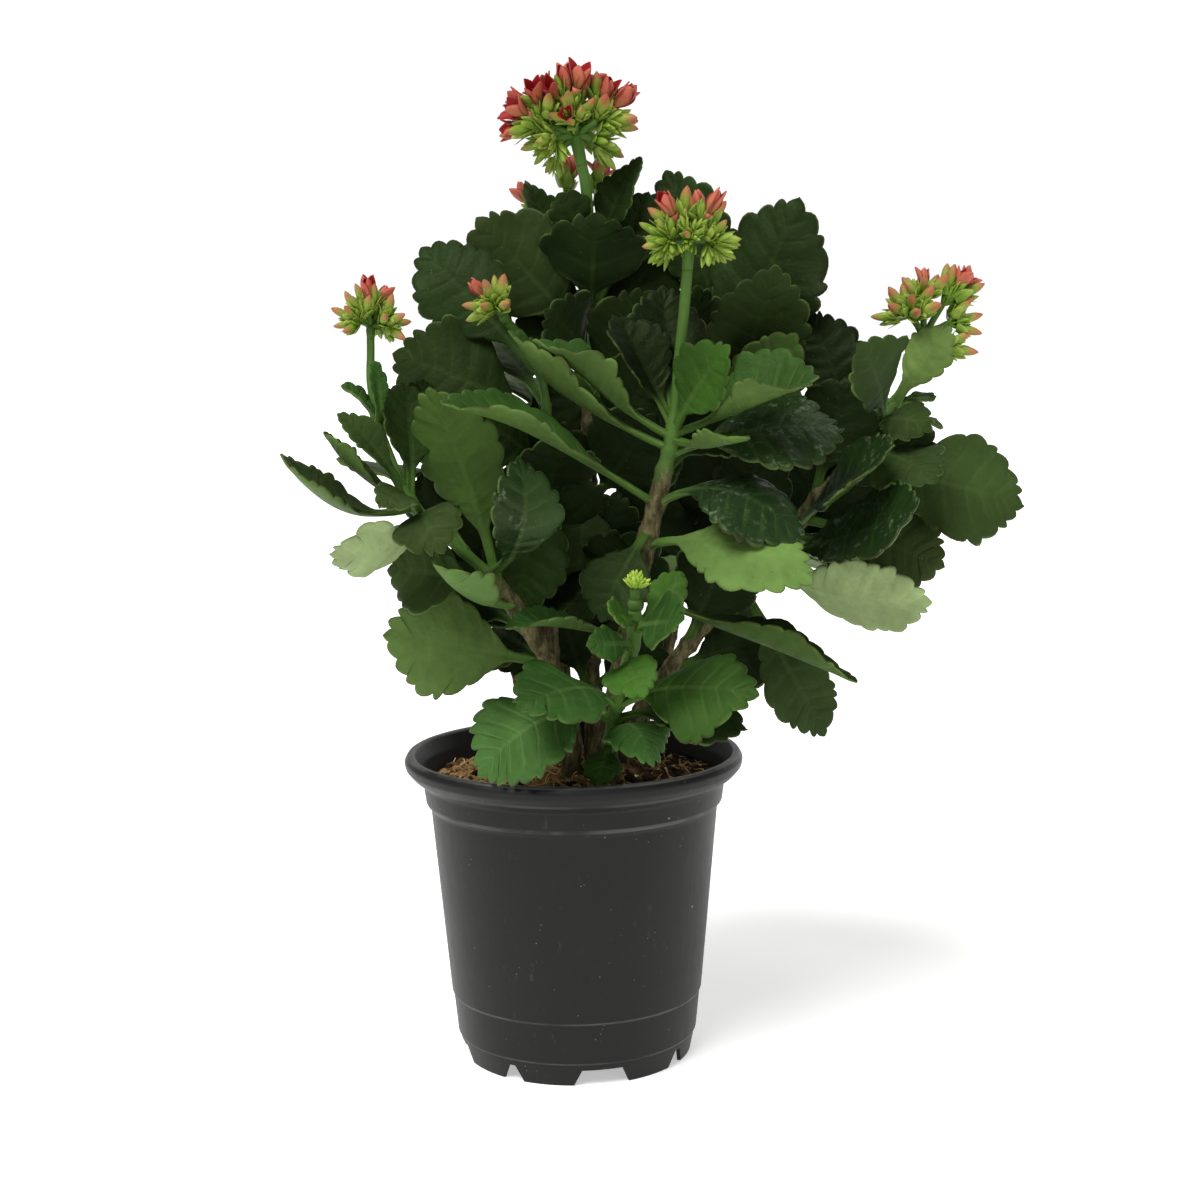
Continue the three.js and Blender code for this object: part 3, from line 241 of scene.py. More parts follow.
# A head: the shoot that carries it, how far its forks start above the stem, how red its buds turn, and its
# domes of buds. A dome: hub from the fork, axis, reach, spread in degrees, counts of buds and of flowers,
# their size, how ripe the buds are, and how far the petals open in degrees.
HEADS = {
    "head_front": {"shoot": "shoot_main", "rise": 10, "domes": [
        {"hub": (-6, -1, 0), "axis": (-8, -3, 1), "reach": 13, "spread": 82, "buds": 9, "size": 0.85,
         "ripe": 0.8},
        {"hub": (6, -1, 0), "axis": (8, -3, 1), "reach": 13, "spread": 82, "buds": 9, "size": 0.85,
         "ripe": 0.8},
        {"hub": (-3, -1, 3), "axis": (-3, -2, 8), "reach": 16, "spread": 38, "buds": 2, "flowers": 2,
         "open": 12},
        {"hub": (3, 0, 3), "axis": (3, -1, 8), "reach": 16, "spread": 38, "buds": 2, "flowers": 2, "open": 12},
        {"hub": (0, -4, 1), "axis": (0, -8, 4), "reach": 10, "spread": 60, "buds": 5, "size": 0.7, "ripe": 0.6},
        {"hub": (0, 5, 1), "axis": (0, 8, 3), "reach": 13, "spread": 70, "buds": 7, "flowers": 1, "size": 0.85},
    ]},
    "head_left": {"shoot": "shoot_left", "rise": 4, "blush": 0.35, "domes": [
        {"hub": (-3, -1, 2), "axis": (-6, -3, 6), "reach": 12, "spread": 68, "buds": 7, "size": 0.85,
         "ripe": 1.65},
        {"hub": (4, -1, 1), "axis": (7, -2, 4), "reach": 12, "spread": 60, "buds": 6, "size": 0.85,
         "ripe": 1.5},
        {"hub": (0, -1, 4), "axis": (0, -1, 9), "reach": 14, "spread": 48, "buds": 4, "flowers": 3,
         "size": 0.9},
        {"hub": (1, 4, 2), "axis": (1, 8, 4), "reach": 12, "spread": 70, "buds": 5, "size": 0.8},
    ]},
    "head_right": {"shoot": "shoot_right", "blush": 0.45, "domes": [
        {"hub": (-5, -3, 8), "axis": (-4, -3, 9), "reach": 15, "spread": 80, "buds": 10, "size": 0.9,
         "ripe": 1.9},
        {"hub": (0, 1, 13), "axis": (0, 0, 9), "reach": 14, "spread": 60, "buds": 6, "flowers": 1, "size": 0.9,
         "ripe": 1.7},
        {"hub": (7, 1, 12), "axis": (7, -1, 9), "reach": 17, "spread": 42, "buds": 3, "flowers": 2, "open": 30},
        {"hub": (9, 1, 5), "axis": (9, 0, 4), "reach": 14, "spread": 48, "buds": 5, "size": 0.85, "ripe": 1.6},
        {"hub": (6, 0, -4), "axis": (9, 0, 0), "reach": 15, "spread": 32, "buds": 3, "size": 0.85},
    ]},
    "head_top": {"shoot": "shoot_tall", "rise": 11, "domes": [
        {"hub": (-11, -2, 4), "axis": (-8, -2, 5), "reach": 19, "spread": 62, "buds": 5, "flowers": 6,
         "open": 40},
        {"hub": (-7, -3, -1), "axis": (-7, -4, -2), "reach": 14, "spread": 62, "buds": 8, "size": 0.85,
         "ripe": 0.8},
        {"hub": (8, -1, 5), "axis": (8, -2, 7), "reach": 18, "spread": 60, "buds": 7, "flowers": 3, "open": 25},
        {"hub": (6, -1, -1), "axis": (8, -1, -2), "reach": 14, "spread": 60, "buds": 7, "size": 0.85,
         "ripe": 0.8},
        {"hub": (-2, 0, 8), "axis": (-1, 0, 9), "reach": 20, "spread": 70, "buds": 3, "flowers": 9, "open": 45},
        {"hub": (0, -7, 4), "axis": (0, -8, 5), "reach": 13, "spread": 55, "buds": 5, "flowers": 1,
         "size": 0.8},
        {"hub": (0, 7, 3), "axis": (0, 8, 4), "reach": 16, "spread": 75, "buds": 8, "flowers": 3, "open": 30},
        {"hub": (-7, 2, -6), "axis": (-3, -1, -8), "reach": 10, "spread": 30, "buds": 3, "size": 0.75,
         "ripe": 0.3},
    ]},
    "head_small": {"shoot": "shoot_upper_left", "blush": 0.15, "domes": [
        {"hub": (-2, -1, 3), "reach": 14, "spread": 85, "buds": 10, "flowers": 1, "size": 0.9, "ripe": 1.7},
    ]},
    "head_rear": {"shoot": "shoot_slender", "domes": [
        {"hub": (-10, 0, 1), "axis": (-4, 0, 9), "reach": 14, "spread": 25, "buds": 0, "flowers": 1,
         "open": 30},
        {"hub": (0, 1, 7), "reach": 18, "spread": 20, "buds": 1, "flowers": 1, "open": 12},
        {"hub": (11, 0, 6), "axis": (3, -1, 9), "reach": 19, "spread": 25, "buds": 1, "flowers": 1, "open": 60},
    ]},
    "bud_low_front": {"shoot": "shoot_short", "domes": [
        {"hub": (0, -1, 4.5), "reach": 7.5, "spread": 42, "buds": 8, "size": 0.62},
    ]},
}

# The pot's outline as radius and height: up the outside, down the inside, and under the foot.
POT_OUTSIDE = [
    (44.2, 0), (45.9, 8.4), (46.5, 9), (48, 24.2), (48.6, 25), (55.2, 97.5), (57, 99.5), (58, 107),
    (62, 110), (64.6, 113), (65, 115.6), (63.6, 118),
]
POT_INSIDE = [(61.3, 118), (58.3, 112.4), (56.7, 107), (55.7, 99.5), (53.8, 96.5), (47.3, 25), (45.2, 9.2)]
POT_UNDERSIDE = [(43.9, 7.6), (42.6, 0)]
FLOOR_LOW, FLOOR_TOP = 7.6, 9.2
EDGE_WEAR_AND_HIGHLIGHT = {9: 0.8, 25: 0.9, 99.5: 0.8, 110: 0.4, 118: 1.1}  # how far the corner at a height is rubbed by wear and lit by a painted highlight line
NOTCH_TURN = 12.7  # degrees from the front to the middle of the first notch
NOTCH_WIDTHS = (21, 9) * 4
NOTCH_HEIGHT, NOTCH_SLANT = 6.2, 3
FOOT_RADIUS = 43.4
DRAIN_RING, DRAIN_RADIUS = 27, 4

ROOT_BALL = [(44.6, 9.5), (46.7, 25), (53.2, 96.5), (55, 99.5)]
SOIL_RADIUS, SOIL_EDGE, SOIL_CROWN = 56, 106.5, 5
SOIL_SIDES, SOIL_ROWS = 160, 62

BLADE_START = 0.2  # share of a leaf's length that is stalk
ACROSS_SHARES = np.array([0.13, 0.32, 0.52, 0.71, 0.86, 0.955, 1.0])  # where a row of a blade has its points
BRIGHT_FROM, BRIGHT_TO, BRIGHTER = 270, 335, 1.5  # green stalks grow lighter between these heights
BUD_SIDES = 12
GOLDEN_ANGLE = math.radians(137.5)
FULL_BUD, FULL_FLOWER, SIDE_BUD = 12.5, 16, 9.5  # lengths without the stalk

# ---- The camera, in metres and degrees ----
CAMERA_PLACE = (0.0108, -0.755, 0.282)  # from the middle of the pot's foot
CAMERA_PITCH, CAMERA_ROLL = 7.99, 0.67
SENSOR = 36  # millimetres


# ---- Numbers ----
def unit(vector):
    vector = np.asarray(vector, float)
    return vector / np.linalg.norm(vector)


def mix(low, high, share):
    return low + (high - low) * share


def ease(low, high, value):
    """0 below low, 1 above high and a smooth rise between."""
    share = np.clip((value - low) / (high - low), 0, 1)
    return share * share * (3 - 2 * share)


def tint(red, green, blue):
    """A colour as Blender keeps it, from its 0 to 255 screen values."""
    shares = (red / 255, green / 255, blue / 255)
    return tuple(c / 12.92 if c < 0.04045 else ((c + 0.055) / 1.055) ** 2.4 for c in shares)


def turns(count):
    """Even steps of a whole turn, in radians."""
    return np.arange(count) * math.tau / count


def across_of(axis, near=(0, 0, 1)):
    """Two directions square to an axis."""
    axis = unit(axis)
    helper = (1, 0, 0) if abs(np.dot(axis, unit(near))) > 0.9 else near
    right = unit(np.cross(axis, helper))
    return right, np.cross(right, axis)


class Spine:
    """The smooth line of a stem, looked up by height."""

    def __init__(self, points):
        points = np.array(points, float)
        ends = np.vstack([2 * points[0] - points[1], points, 2 * points[-1] - points[-2]])
        t = np.linspace(0, 1, 16, endpoint=False)[:, None]
        pieces = []
        for a, b, c, d in zip(ends, ends[1:], ends[2:], ends[3:]):
            leave, arrive = (c - a) / 2, (d - b) / 2
            pieces.append(
                (2 * t**3 - 3 * t**2 + 1) * b + (t**3 - 2 * t**2 + t) * leave
                + (3 * t**2 - 2 * t**3) * c + (t**3 - t**2) * arrive
            )
        self.line = np.vstack(pieces + [points[-1:]])
        self.along_end = unit(points[-1] - points[-2])

    def at(self, height):
        return np.array([np.interp(height, self.line[:, 2], self.line[:, k]) for k in range(3)])


# ---- Mesh making ----
def new_object(name, data):
    """Puts an object with this data into the scene."""
    thing = bpy.data.objects.new(name, data)
    bpy.context.scene.collection.objects.link(thing)
    return thing


class Piece:
    """Points and faces of one piece, in millimetres, with the values that its finishes read."""

    def __init__(self):
        self.points, self.faces, self.finishes, self.values = [], [], [], []
        self.count = 0

    def add(self, points, faces, finish=0, **values):
        points = np.asarray(points, float).reshape(-1, 3)
        faces = [np.asarray(f, int) + self.count for f in faces if len(f)]
        self.points.append(points)
        self.faces += faces
        self.finishes += [finish] * sum(len(f) for f in faces)
        self.values.append((self.count, len(points), values))
        self.count += len(points)

    def build(self, name, finishes, nodes):
        """Makes the Blender object, which stands for its CAD nodes and rides with them."""
        mesh = bpy.data.meshes.new(name)
        points = np.vstack(self.points) * MM + POT_CENTRE
        corners = np.concatenate([f.ravel() for f in self.faces])
        sizes = np.concatenate([np.full(len(f), f.shape[1]) for f in self.faces])
        mesh.vertices.add(len(points))
        mesh.vertices.foreach_set("co", points.astype(np.float32).ravel())
        mesh.loops.add(len(corners))
        mesh.loops.foreach_set("vertex_index", corners.astype(np.int32))
        mesh.polygons.add(len(sizes))
        mesh.polygons.foreach_set("loop_start", (np.cumsum(sizes) - sizes).astype(np.int32))
        mesh.polygons.foreach_set("material_index", np.array(self.finishes, np.int32))
        mesh.polygons.foreach_set("use_smooth", np.ones(len(sizes), bool))
        for key in sorted({k for _, _, values in self.values for k in values}):
            sample = next(values[key] for _, _, values in self.values if key in values)
            colour = np.ndim(sample) >= 1 and np.shape(sample)[-1] == 3
            data = np.ones((len(points), 4)) if colour else np.zeros(len(points))
            for start, count, values in self.values:
                if key in values and colour:
                    data[start : start + count, :3] = values[key]
                elif key in values:
                    data[start : start + count] = values[key]
            layer = mesh.attributes.new(key, "FLOAT_COLOR" if colour else "FLOAT", "POINT")
            layer.data.foreach_set("color" if colour else "value", data.astype(np.float32).ravel())
        mesh.update(calc_edges=True)
        if mesh.validate():
            raise RuntimeError(f"the mesh of {name} is broken")
        for finish in finishes:
            mesh.materials.append(finish)
        thing = new_object(name, mesh)
        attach(thing, "root")
        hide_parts(*nodes)
        return thing


def ring_faces(rows, around):
    """The quads between rows of a loft."""
    i, j = np.meshgrid(np.arange(rows - 1), np.arange(around), indexing="ij")
    k = (j + 1) % around
    quads = [i * around + j, i * around + k, (i + 1) * around + k, (i + 1) * around + j]
    return np.stack(quads, -1).reshape(-1, 4)


def closed_faces(rows, around):
    """The quads of a loft and the fans of its two ends, whose middles are the last two points."""
    j = np.arange(around)
    k = (j + 1) % around
    last = (rows - 1) * around
    foot = np.stack([k, j, np.full(around, rows * around)], -1)
    top = np.stack([last + j, last + k, np.full(around, rows * around + 1)], -1)
    return [ring_faces(rows, around), foot, top]


def tube(line, radii, sides=10):
    """A closed round bar along a line; returns its points, its faces and each point's row."""
    line = np.asarray(line, float)
    radii = np.broadcast_to(radii, len(line))
    along = np.gradient(line, axis=0)
    along /= np.linalg.norm(along, axis=1)[:, None]
    right, _ = across_of(along[0], (0, 1, 0))
    rings = []
    turn = turns(sides)[:, None]
    for place, way, radius in zip(line, along, radii):
        right = unit(right - way * np.dot(right, way))
        up = np.cross(way, right)
        rings.append(place + radius * (np.cos(turn) * right + np.sin(turn) * up))
    points = np.vstack(rings + [line[:1], line[-1:]])
    rows = np.concatenate([np.repeat(np.arange(len(line)), sides), [0, len(line) - 1]])
    return points, closed_faces(len(line), sides), rows


# ---- Finishes ----
class Signal:
    """A socket that carries a value; Python's signs on it add the Math nodes."""

    def __init__(self, nodes, socket):
        self.nodes, self.socket = nodes, socket

    def math(self, operation, *values):
        return self.nodes.node("ShaderNodeMath", {"operation": operation}, dict(enumerate(values)))

    def __add__(self, other):
        return self.math("ADD", self, other)

    __radd__ = __add__

    def __sub__(self, other):
        return self.math("SUBTRACT", self, other)

    def __rsub__(self, other):
        return self.math("SUBTRACT", other, self)

    def __mul__(self, other):
        return self.math("MULTIPLY", self, other)

    __rmul__ = __mul__

    def __abs__(self):
        return self.math("ABSOLUTE", self)

    def __mod__(self, other):
        return self.math("FLOORED_MODULO", self, other)

    def rise(self, low, high, start=0.0, end=1.0):
        """From start to end, smoothly, as the value goes from low to high; low may be the larger."""
        return self.nodes.node(
            "ShaderNodeMapRange",
            {"interpolation_type": "SMOOTHSTEP"},
            {"Value": self, "From Min": low, "From Max": high, "To Min": start, "To Max": end},
        )


class Nodes:
    """A node tree that grows node by node."""

    def __init__(self, tree):
        self.tree = tree

    def node(self, kind, settings=None, inputs=None, output=0):
        """Adds any node: its settings first, then the values or links of its sockets."""
        node = self.tree.nodes.new(kind)
        for name, value in (settings or {}).items():
            setattr(node, name, value)
        self.feed(node, inputs or {})
        return Signal(self, node.outputs[output])

    def feed(self, node, inputs):
        for key, value in inputs.items():
            if isinstance(value, Signal):
                self.tree.links.new(value.socket, node.inputs[key])
            else:
                node.inputs[key].default_value = value


class Finish(Nodes):
    """One material, made node by node around a Principled shader."""

    def __init__(self, name):
        self.material = bpy.data.materials.new(name)
        self.material.use_nodes = True
        super().__init__(self.material.node_tree)
        self.shader = self.tree.nodes["Principled BSDF"]
        self.place = self.node("ShaderNodeTexCoord", output="Object")

    def value(self, name):
        return self.node("ShaderNodeAttribute", {"attribute_name": name}, output="Fac")

    def colour(self, name):
        return self.node("ShaderNodeAttribute", {"attribute_name": name}, output="Color")

    def noise(self, scale, detail=3.0, roughness=0.55, stretch=None):
        place = self.place
        if stretch:
            place = self.node("ShaderNodeVectorMath", {"operation": "MULTIPLY"}, {0: place, 1: stretch})
        inputs = {"Vector": place, "Scale": scale, "Detail": detail, "Roughness": roughness}
        return self.node("ShaderNodeTexNoise", {}, inputs)

    def cells(self, scale):
        return self.node("ShaderNodeTexVoronoi", {}, {"Vector": self.place, "Scale": scale}, "Distance")

    def specks(self, cell_scale, edges, patch_scale, patches):
        """Small dots in the middle of cells, only where a broader noise lets them show."""
        return self.cells(cell_scale).rise(*edges) * self.noise(patch_scale, 2).rise(*patches)

    def blend(self, share, low, high):
        """A colour between two colours."""
        low, high = (c if isinstance(c, Signal) else (*c, 1) for c in (low, high))
        return self.node("ShaderNodeMix", {"data_type": "RGBA"}, {0: share, 6: low, 7: high}, 2)

    def scaled(self, colour, factor):
        """A colour made lighter or darker."""
        return self.node("ShaderNodeVectorMath", {"operation": "SCALE"}, {0: colour, "Scale": factor})

    def bump(self, height, distance, strength=1.0):
        return self.node("ShaderNodeBump", {}, {"Height": height, "Distance": distance, "Strength": strength})

    def done(self, **sockets):
        """Feeds the shader; a name's _ stands for a space."""
        self.feed(self.shader, {key.replace("_", " "): value for key, value in sockets.items()})
        return self.material


PAINTED_GLINT, PALE_FLECK, DARK_SPOT = tint(112, 130, 104), tint(150, 160, 124), tint(26, 28, 12)
BARK_SPECK, DUST = tint(156, 146, 112), tint(170, 166, 152)


def leaf_finish(settings, name, gloss):
    """Fleshy leaf: mottled green above, paler below, with veins, a thin rim that is brown in places and elsewhere a
    pale painted highlight, flecks, and painted glints: pale patches on the shinier upper sides that stand in for
    broken highlights.
    """
    f = Finish(name)
    across, along, vein, under = f.value("across"), f.value("along"), f.value("vein"), f.value("under")
    from_rib, shine, veined = f.value("from_rib"), f.value("shine"), f.value("veined")
    cloud = f.noise(30, 2).rise(0.3, 0.7)
    blotch = f.noise(75, 3)
    mottle = f.noise(300, 4, 0.6)
    grain = f.noise(1500, 2)
    top = f.scaled(f.colour("upper_side"), 0.36 + 0.4 * cloud + 0.45 * blotch + 0.35 * mottle)
    back = f.scaled(f.colour("lower_side"), 0.48 + 0.35 * cloud + 0.35 * blotch + 0.3 * mottle)
    colour = f.blend(under.rise(0.3, 0.7), top, back)
    wander = vein + 0.3 * mottle - 0.15
    branch = abs(wander % 1.0 - 0.5).rise(0.16, 0.02) * across.rise(1.0, 0.3) * along.rise(0.14, 0.3)
    midrib = from_rib.rise(1.4, 0.4) * along.rise(1.0, 0.3)
    colour = f.blend((branch * 0.16 + midrib * 0.34) * veined, colour, settings.vein_green)
    colour = f.blend(along.rise(0.3, 0.1) * 0.75, colour, settings.stalk_green)
    # the thin rim round each leaf: brown in patches, and elsewhere pale as a painted highlight where the edge
    # catches the light
    rim = f.blend(f.noise(65, 2).rise(0.44, 0.56), settings.rim_colour, settings.rim_highlight)
    colour = f.blend(across.rise(0.94, 1.0) * 0.5, colour, rim)
    # painted glints: pale patches between the veins on the upper sides of the shinier leaves, standing in for
    # broken highlights
    painted_glints = f.noise(380, 4, 0.65).rise(0.52, 0.66) * f.noise(90, 2).rise(0.46, 0.6) * shine.rise(0.5, 1.0)
    colour = f.blend(painted_glints * across.rise(1.0, 0.85) * under.rise(0.5, 0.3) * 0.46, colour, PAINTED_GLINT)
    colour = f.blend(f.specks(520, (0.12, 0.06), 110, (0.56, 0.66)) * 0.28, colour, PALE_FLECK)
    colour = f.blend(f.specks(260, (0.1, 0.05), 70, (0.55, 0.68)) * 0.55, colour, DARK_SPOT)
    relief = grain * 0.3 + mottle * 0.8 + blotch * 1.6 - branch * 0.3 * veined - midrib * 0.3
    rough = 0.66 - 0.3 * shine + 0.3 * (mottle - 0.5)
    return f.done(
        Base_Color=colour, Roughness=rough, Normal=f.bump(relief, settings.leaf_relief, 0.7),
        Specular_IOR_Level=gloss, Specular_Tint=(*settings.gloss_tint, 1),
    )


def stem_finish(settings):
    """Stem: corky tan bark below that turns to a smooth green stalk above."""
    f = Finish("stem_and_bark")
    woody = f.value("woody")
    streak = f.noise(420, 4, 0.6, (1, 1, 0.3))
    scars = f.noise(240, 3, 0.6, (0.5, 0.5, 2.2))
    fine = f.noise(1400, 3)
    bark = f.blend(streak.rise(0.35, 0.7), settings.bark_dark, settings.bark_light)
    bark = f.blend(scars.rise(0.55, 0.72) * 0.55, bark, settings.bark_green)
    bark = f.blend(f.specks(900, (0.22, 0.1), 350, (0.5, 0.6)) * 0.6, bark, BARK_SPECK)
    green = f.scaled(f.colour("stalk"), 0.72 + 0.3 * streak + 0.26 * f.noise(90, 2))
    border = (woody + (streak - 0.5) * 0.9).rise(0.25, 0.75)
    relief = (scars * 0.8 + streak + fine * 0.4) * (0.15 + border)
    return f.done(
        Base_Color=f.blend(border, green, bark), Roughness=0.5 + border * 0.35,
        Normal=f.bump(relief, 0.0007, 0.8), Specular_IOR_Level=0.15,
    )


def bud_finish(settings):
    """Bud and petal: green cup, peach and coral corolla, deep red inside the open petals."""
    f = Finish("bud_and_petal")
    length, inside = f.value("length"), f.value("inside")
    streak = f.noise(900, 3, 0.6)
    soft = f.noise(160, 2)
    colour = f.scaled(f.colour("outer_side"), 0.78 + 0.26 * streak + 0.2 * soft)
    face = f.scaled(f.colour("inner_side"), 0.8 + 0.24 * streak + 0.2 * soft)
    colour = f.blend(inside.rise(0.35, 0.65), colour, face)
    colour = f.blend(length.rise(0.86, 1.0) * 0.35, colour, settings.bud_tip)
    return f.done(
        Base_Color=colour, Roughness=0.5 + 0.15 * (streak - 0.5),
        Normal=f.bump(streak * 0.6 + soft, 0.00025, 0.6), Specular_IOR_Level=0.2,
    )


def pot_finish(settings):
    """Charcoal nursery-pot plastic: a dull grain, grey edges that are partly wear and partly painted highlight
    lines, rubbed marks and a few specks of dust.
    """
    f = Finish("dull_pot_plastic")
    edge = f.value("edge")
    grain = f.noise(1900, 2)
    cloud = f.noise(26, 4, 0.6)
    rub = f.noise(330, 4, 0.65, (1, 1, 0.35))
    colour = f.blend(cloud, settings.plastic, settings.plastic_worn)
    # grey along the moulded edges: wear, and painted highlight lines on the rim and the steps
    colour = f.blend(edge * f.noise(38, 3).rise(0.3, 0.6) * 0.6, colour, settings.plastic_edge)
    scuff = rub.rise(0.6, 0.78) * cloud.rise(0.4, 0.7)
    colour = f.blend(scuff * 0.3, colour, settings.plastic_edge)
    dust = f.specks(150, (0.1, 0.05), 48, (0.58, 0.64))
    motes = f.specks(520, (0.12, 0.07), 130, (0.58, 0.64))
    colour = f.blend(dust * 0.75 + motes * 0.4, colour, DUST)
    rough = settings.pot_roughness + 0.14 * (rub - 0.5) + 0.16 * scuff + 0.3 * dust
    return f.done(
        Base_Color=colour, Roughness=rough, Normal=f.bump(grain * 0.5 + rub * 0.5 + dust, 0.00022, 0.5),
        Specular_IOR_Level=settings.pot_gloss,
    )


def peat_finish():
    """Peat: dark crumbly brown with lighter chips, read from each crumb's colour, which also carries painted light
    towards the left.
    """
    f = Finish("loose_peat")
    fine = f.noise(1100, 4, 0.65)
    lumps = f.noise(330, 3)
    colour = f.scaled(f.colour("crumb"), 0.4 + 1.1 * fine + 0.7 * lumps)
    return f.done(
        Base_Color=colour, Roughness=0.92, Normal=f.bump(fine + lumps, 0.0012, 1.0), Specular_IOR_Level=0.15,
    )


# ---- Pot and soil ----
def rounded_line(corners, radius):
    """The corners of an outline rounded off, with how far each place has wear and a painted highlight line."""
    corners = [np.array(c, float) for c in corners]
    line, wear_and_highlight = [corners[0]], [0.0]
    for before, corner, after in zip(corners, corners[1:], corners[2:]):
        back, on = before - corner, after - corner
        cut = min(radius, 0.28 * np.linalg.norm(back), 0.28 * np.linalg.norm(on))
        back, on = unit(back) * cut, unit(on) * cut
        line.append(corner + back * 1.6)
        for t in (0, 0.35, 0.65, 1):
            line.append((1 - t) ** 2 * (corner + back) + 2 * t * (1 - t) * corner + t * t * (corner + on))
        line.append(corner + on * 1.6)
        wear_and_highlight += [0.0, *[EDGE_WEAR_AND_HIGHLIGHT.get(corner[1], 0.0)] * 4, 0.0]
    return np.array(line + [corners[-1]]), np.array(wear_and_highlight + [0.0])


def notch_rise(turn):
    """How high the foot ring's lower edge lies at an angle from the front."""
    rise = np.zeros_like(turn)
    for i, width in enumerate(NOTCH_WIDTHS):
        centre = math.radians(NOTCH_TURN + 45 * i)
        off = np.abs((turn - centre + math.pi) % math.tau - math.pi) * FOOT_RADIUS
        rise = np.maximum(rise, NOTCH_HEIGHT * np.clip((width / 2 - off) / NOTCH_SLANT, 0, 1))
    return rise


def pot_angles():
    """Even steps round the pot, with the corners of the notches added."""
    angles = list(turns(144))
    for i, width in enumerate(NOTCH_WIDTHS):
        for inward in (-0.25, 0, 0.3, 2.7, 3, 3.25):
            off = (width / 2 - inward) / FOOT_RADIUS
            angles += [(math.radians(NOTCH_TURN + 45 * i) + side * off) % math.tau for side in (-1, 1)]
    angles = np.sort(np.array(angles))
    return angles[np.append(True, np.diff(angles) > 0.0006)]


def build_pot(settings):
    """Turns the pot's outline, lifts its foot over the notches and cuts the drain holes."""
    outline = [(0, FLOOR_LOW), *POT_UNDERSIDE, *POT_OUTSIDE, *POT_INSIDE, (0, FLOOR_TOP)]
    line, wear_and_highlight = rounded_line(outline, settings.edge_round)
    line, wear_and_highlight = line[1:-1], wear_and_highlight[1:-1]
    turn = pot_angles()
    rise = notch_rise(turn)
    out, up = line[:, :1], line[:, 1:]
    height = up + np.zeros(len(turn))
    ring_top, ring_inside, floor_radius = 8, 44, 40
    lifted = np.where(height < ring_top, rise + height * (ring_top - rise) / ring_top, height)
    lifted = np.where((up > 7) & (out < ring_inside), height, lifted)
    slope = np.where(out > 43.5, 0.2, 0.17)
    radius = np.where(out < floor_radius, out, out + (lifted - height) * slope)
    points = np.stack([radius * np.sin(turn), -radius * np.cos(turn), lifted], -1)
    rows, around = points.shape[:2]
    points = np.vstack([points.reshape(-1, 3), [[0, 0, FLOOR_LOW], [0, 0, FLOOR_TOP]]])
    piece = Piece()
    piece.add(points, closed_faces(rows, around), edge=np.append(np.repeat(wear_and_highlight, around), [0, 0]))
    drill_holes(piece.build("pot_body", [pot_finish(settings)], ["pot"]))


def drill_holes(pot):
    """Cuts the four drain holes through the floor."""
    drill = Piece()
    for i in range(4):
        turn = math.radians(NOTCH_TURN + 45 + 90 * i)
        x, y = DRAIN_RING * math.sin(turn), -DRAIN_RING * math.cos(turn)
        points, faces, _ = tube([(x, y, 5), (x, y, 8.4), (x, y, 12)], DRAIN_RADIUS, 32)
        drill.add(points, faces)
    mesh = bpy.data.meshes.new("drill")
    corners = (np.vstack(drill.points) * MM + POT_CENTRE).tolist()
    mesh.from_pydata(corners, [], [face.tolist() for group in drill.faces for face in group])
    cutter = new_object("drill", mesh)
    cut = pot.modifiers.new("drain holes", "BOOLEAN")
    cut.operation = "DIFFERENCE"
    cut.solver = "EXACT"
    cut.object = cutter
    bpy.context.view_layer.update()
    drilled = bpy.data.meshes.new_from_object(pot.evaluated_get(bpy.context.evaluated_depsgraph_get()))
    pot.modifiers.clear()
    if len(drilled.vertices) < len(pot.data.vertices) // 2:
        raise RuntimeError("the drain holes could not be cut")
    pot.data = drilled
    bpy.data.objects.remove(cutter)


def soil_height(x, y):
    """The height of the peat's surface: a low crown with clods."""
    share = np.clip(np.hypot(x, y) / SOIL_RADIUS, 0, 1)
    clod = 1.3 * (np.sin(0.31 * x + 1) * np.cos(0.27 * y) + 0.6 * np.sin(0.73 * x - 0.61 * y))
    return SOIL_EDGE + SOIL_CROWN * (1 - share**2) + clod * np.minimum(1, 4 * (1 - share))


def crumb_noise(x, y, scale, seed):
    """Smooth noise at places on the soil."""
    places = zip(x.ravel(), y.ravel())
    return np.array([noise.noise(Vector((a * scale, b * scale, seed))) for a, b in places]).reshape(x.shape)


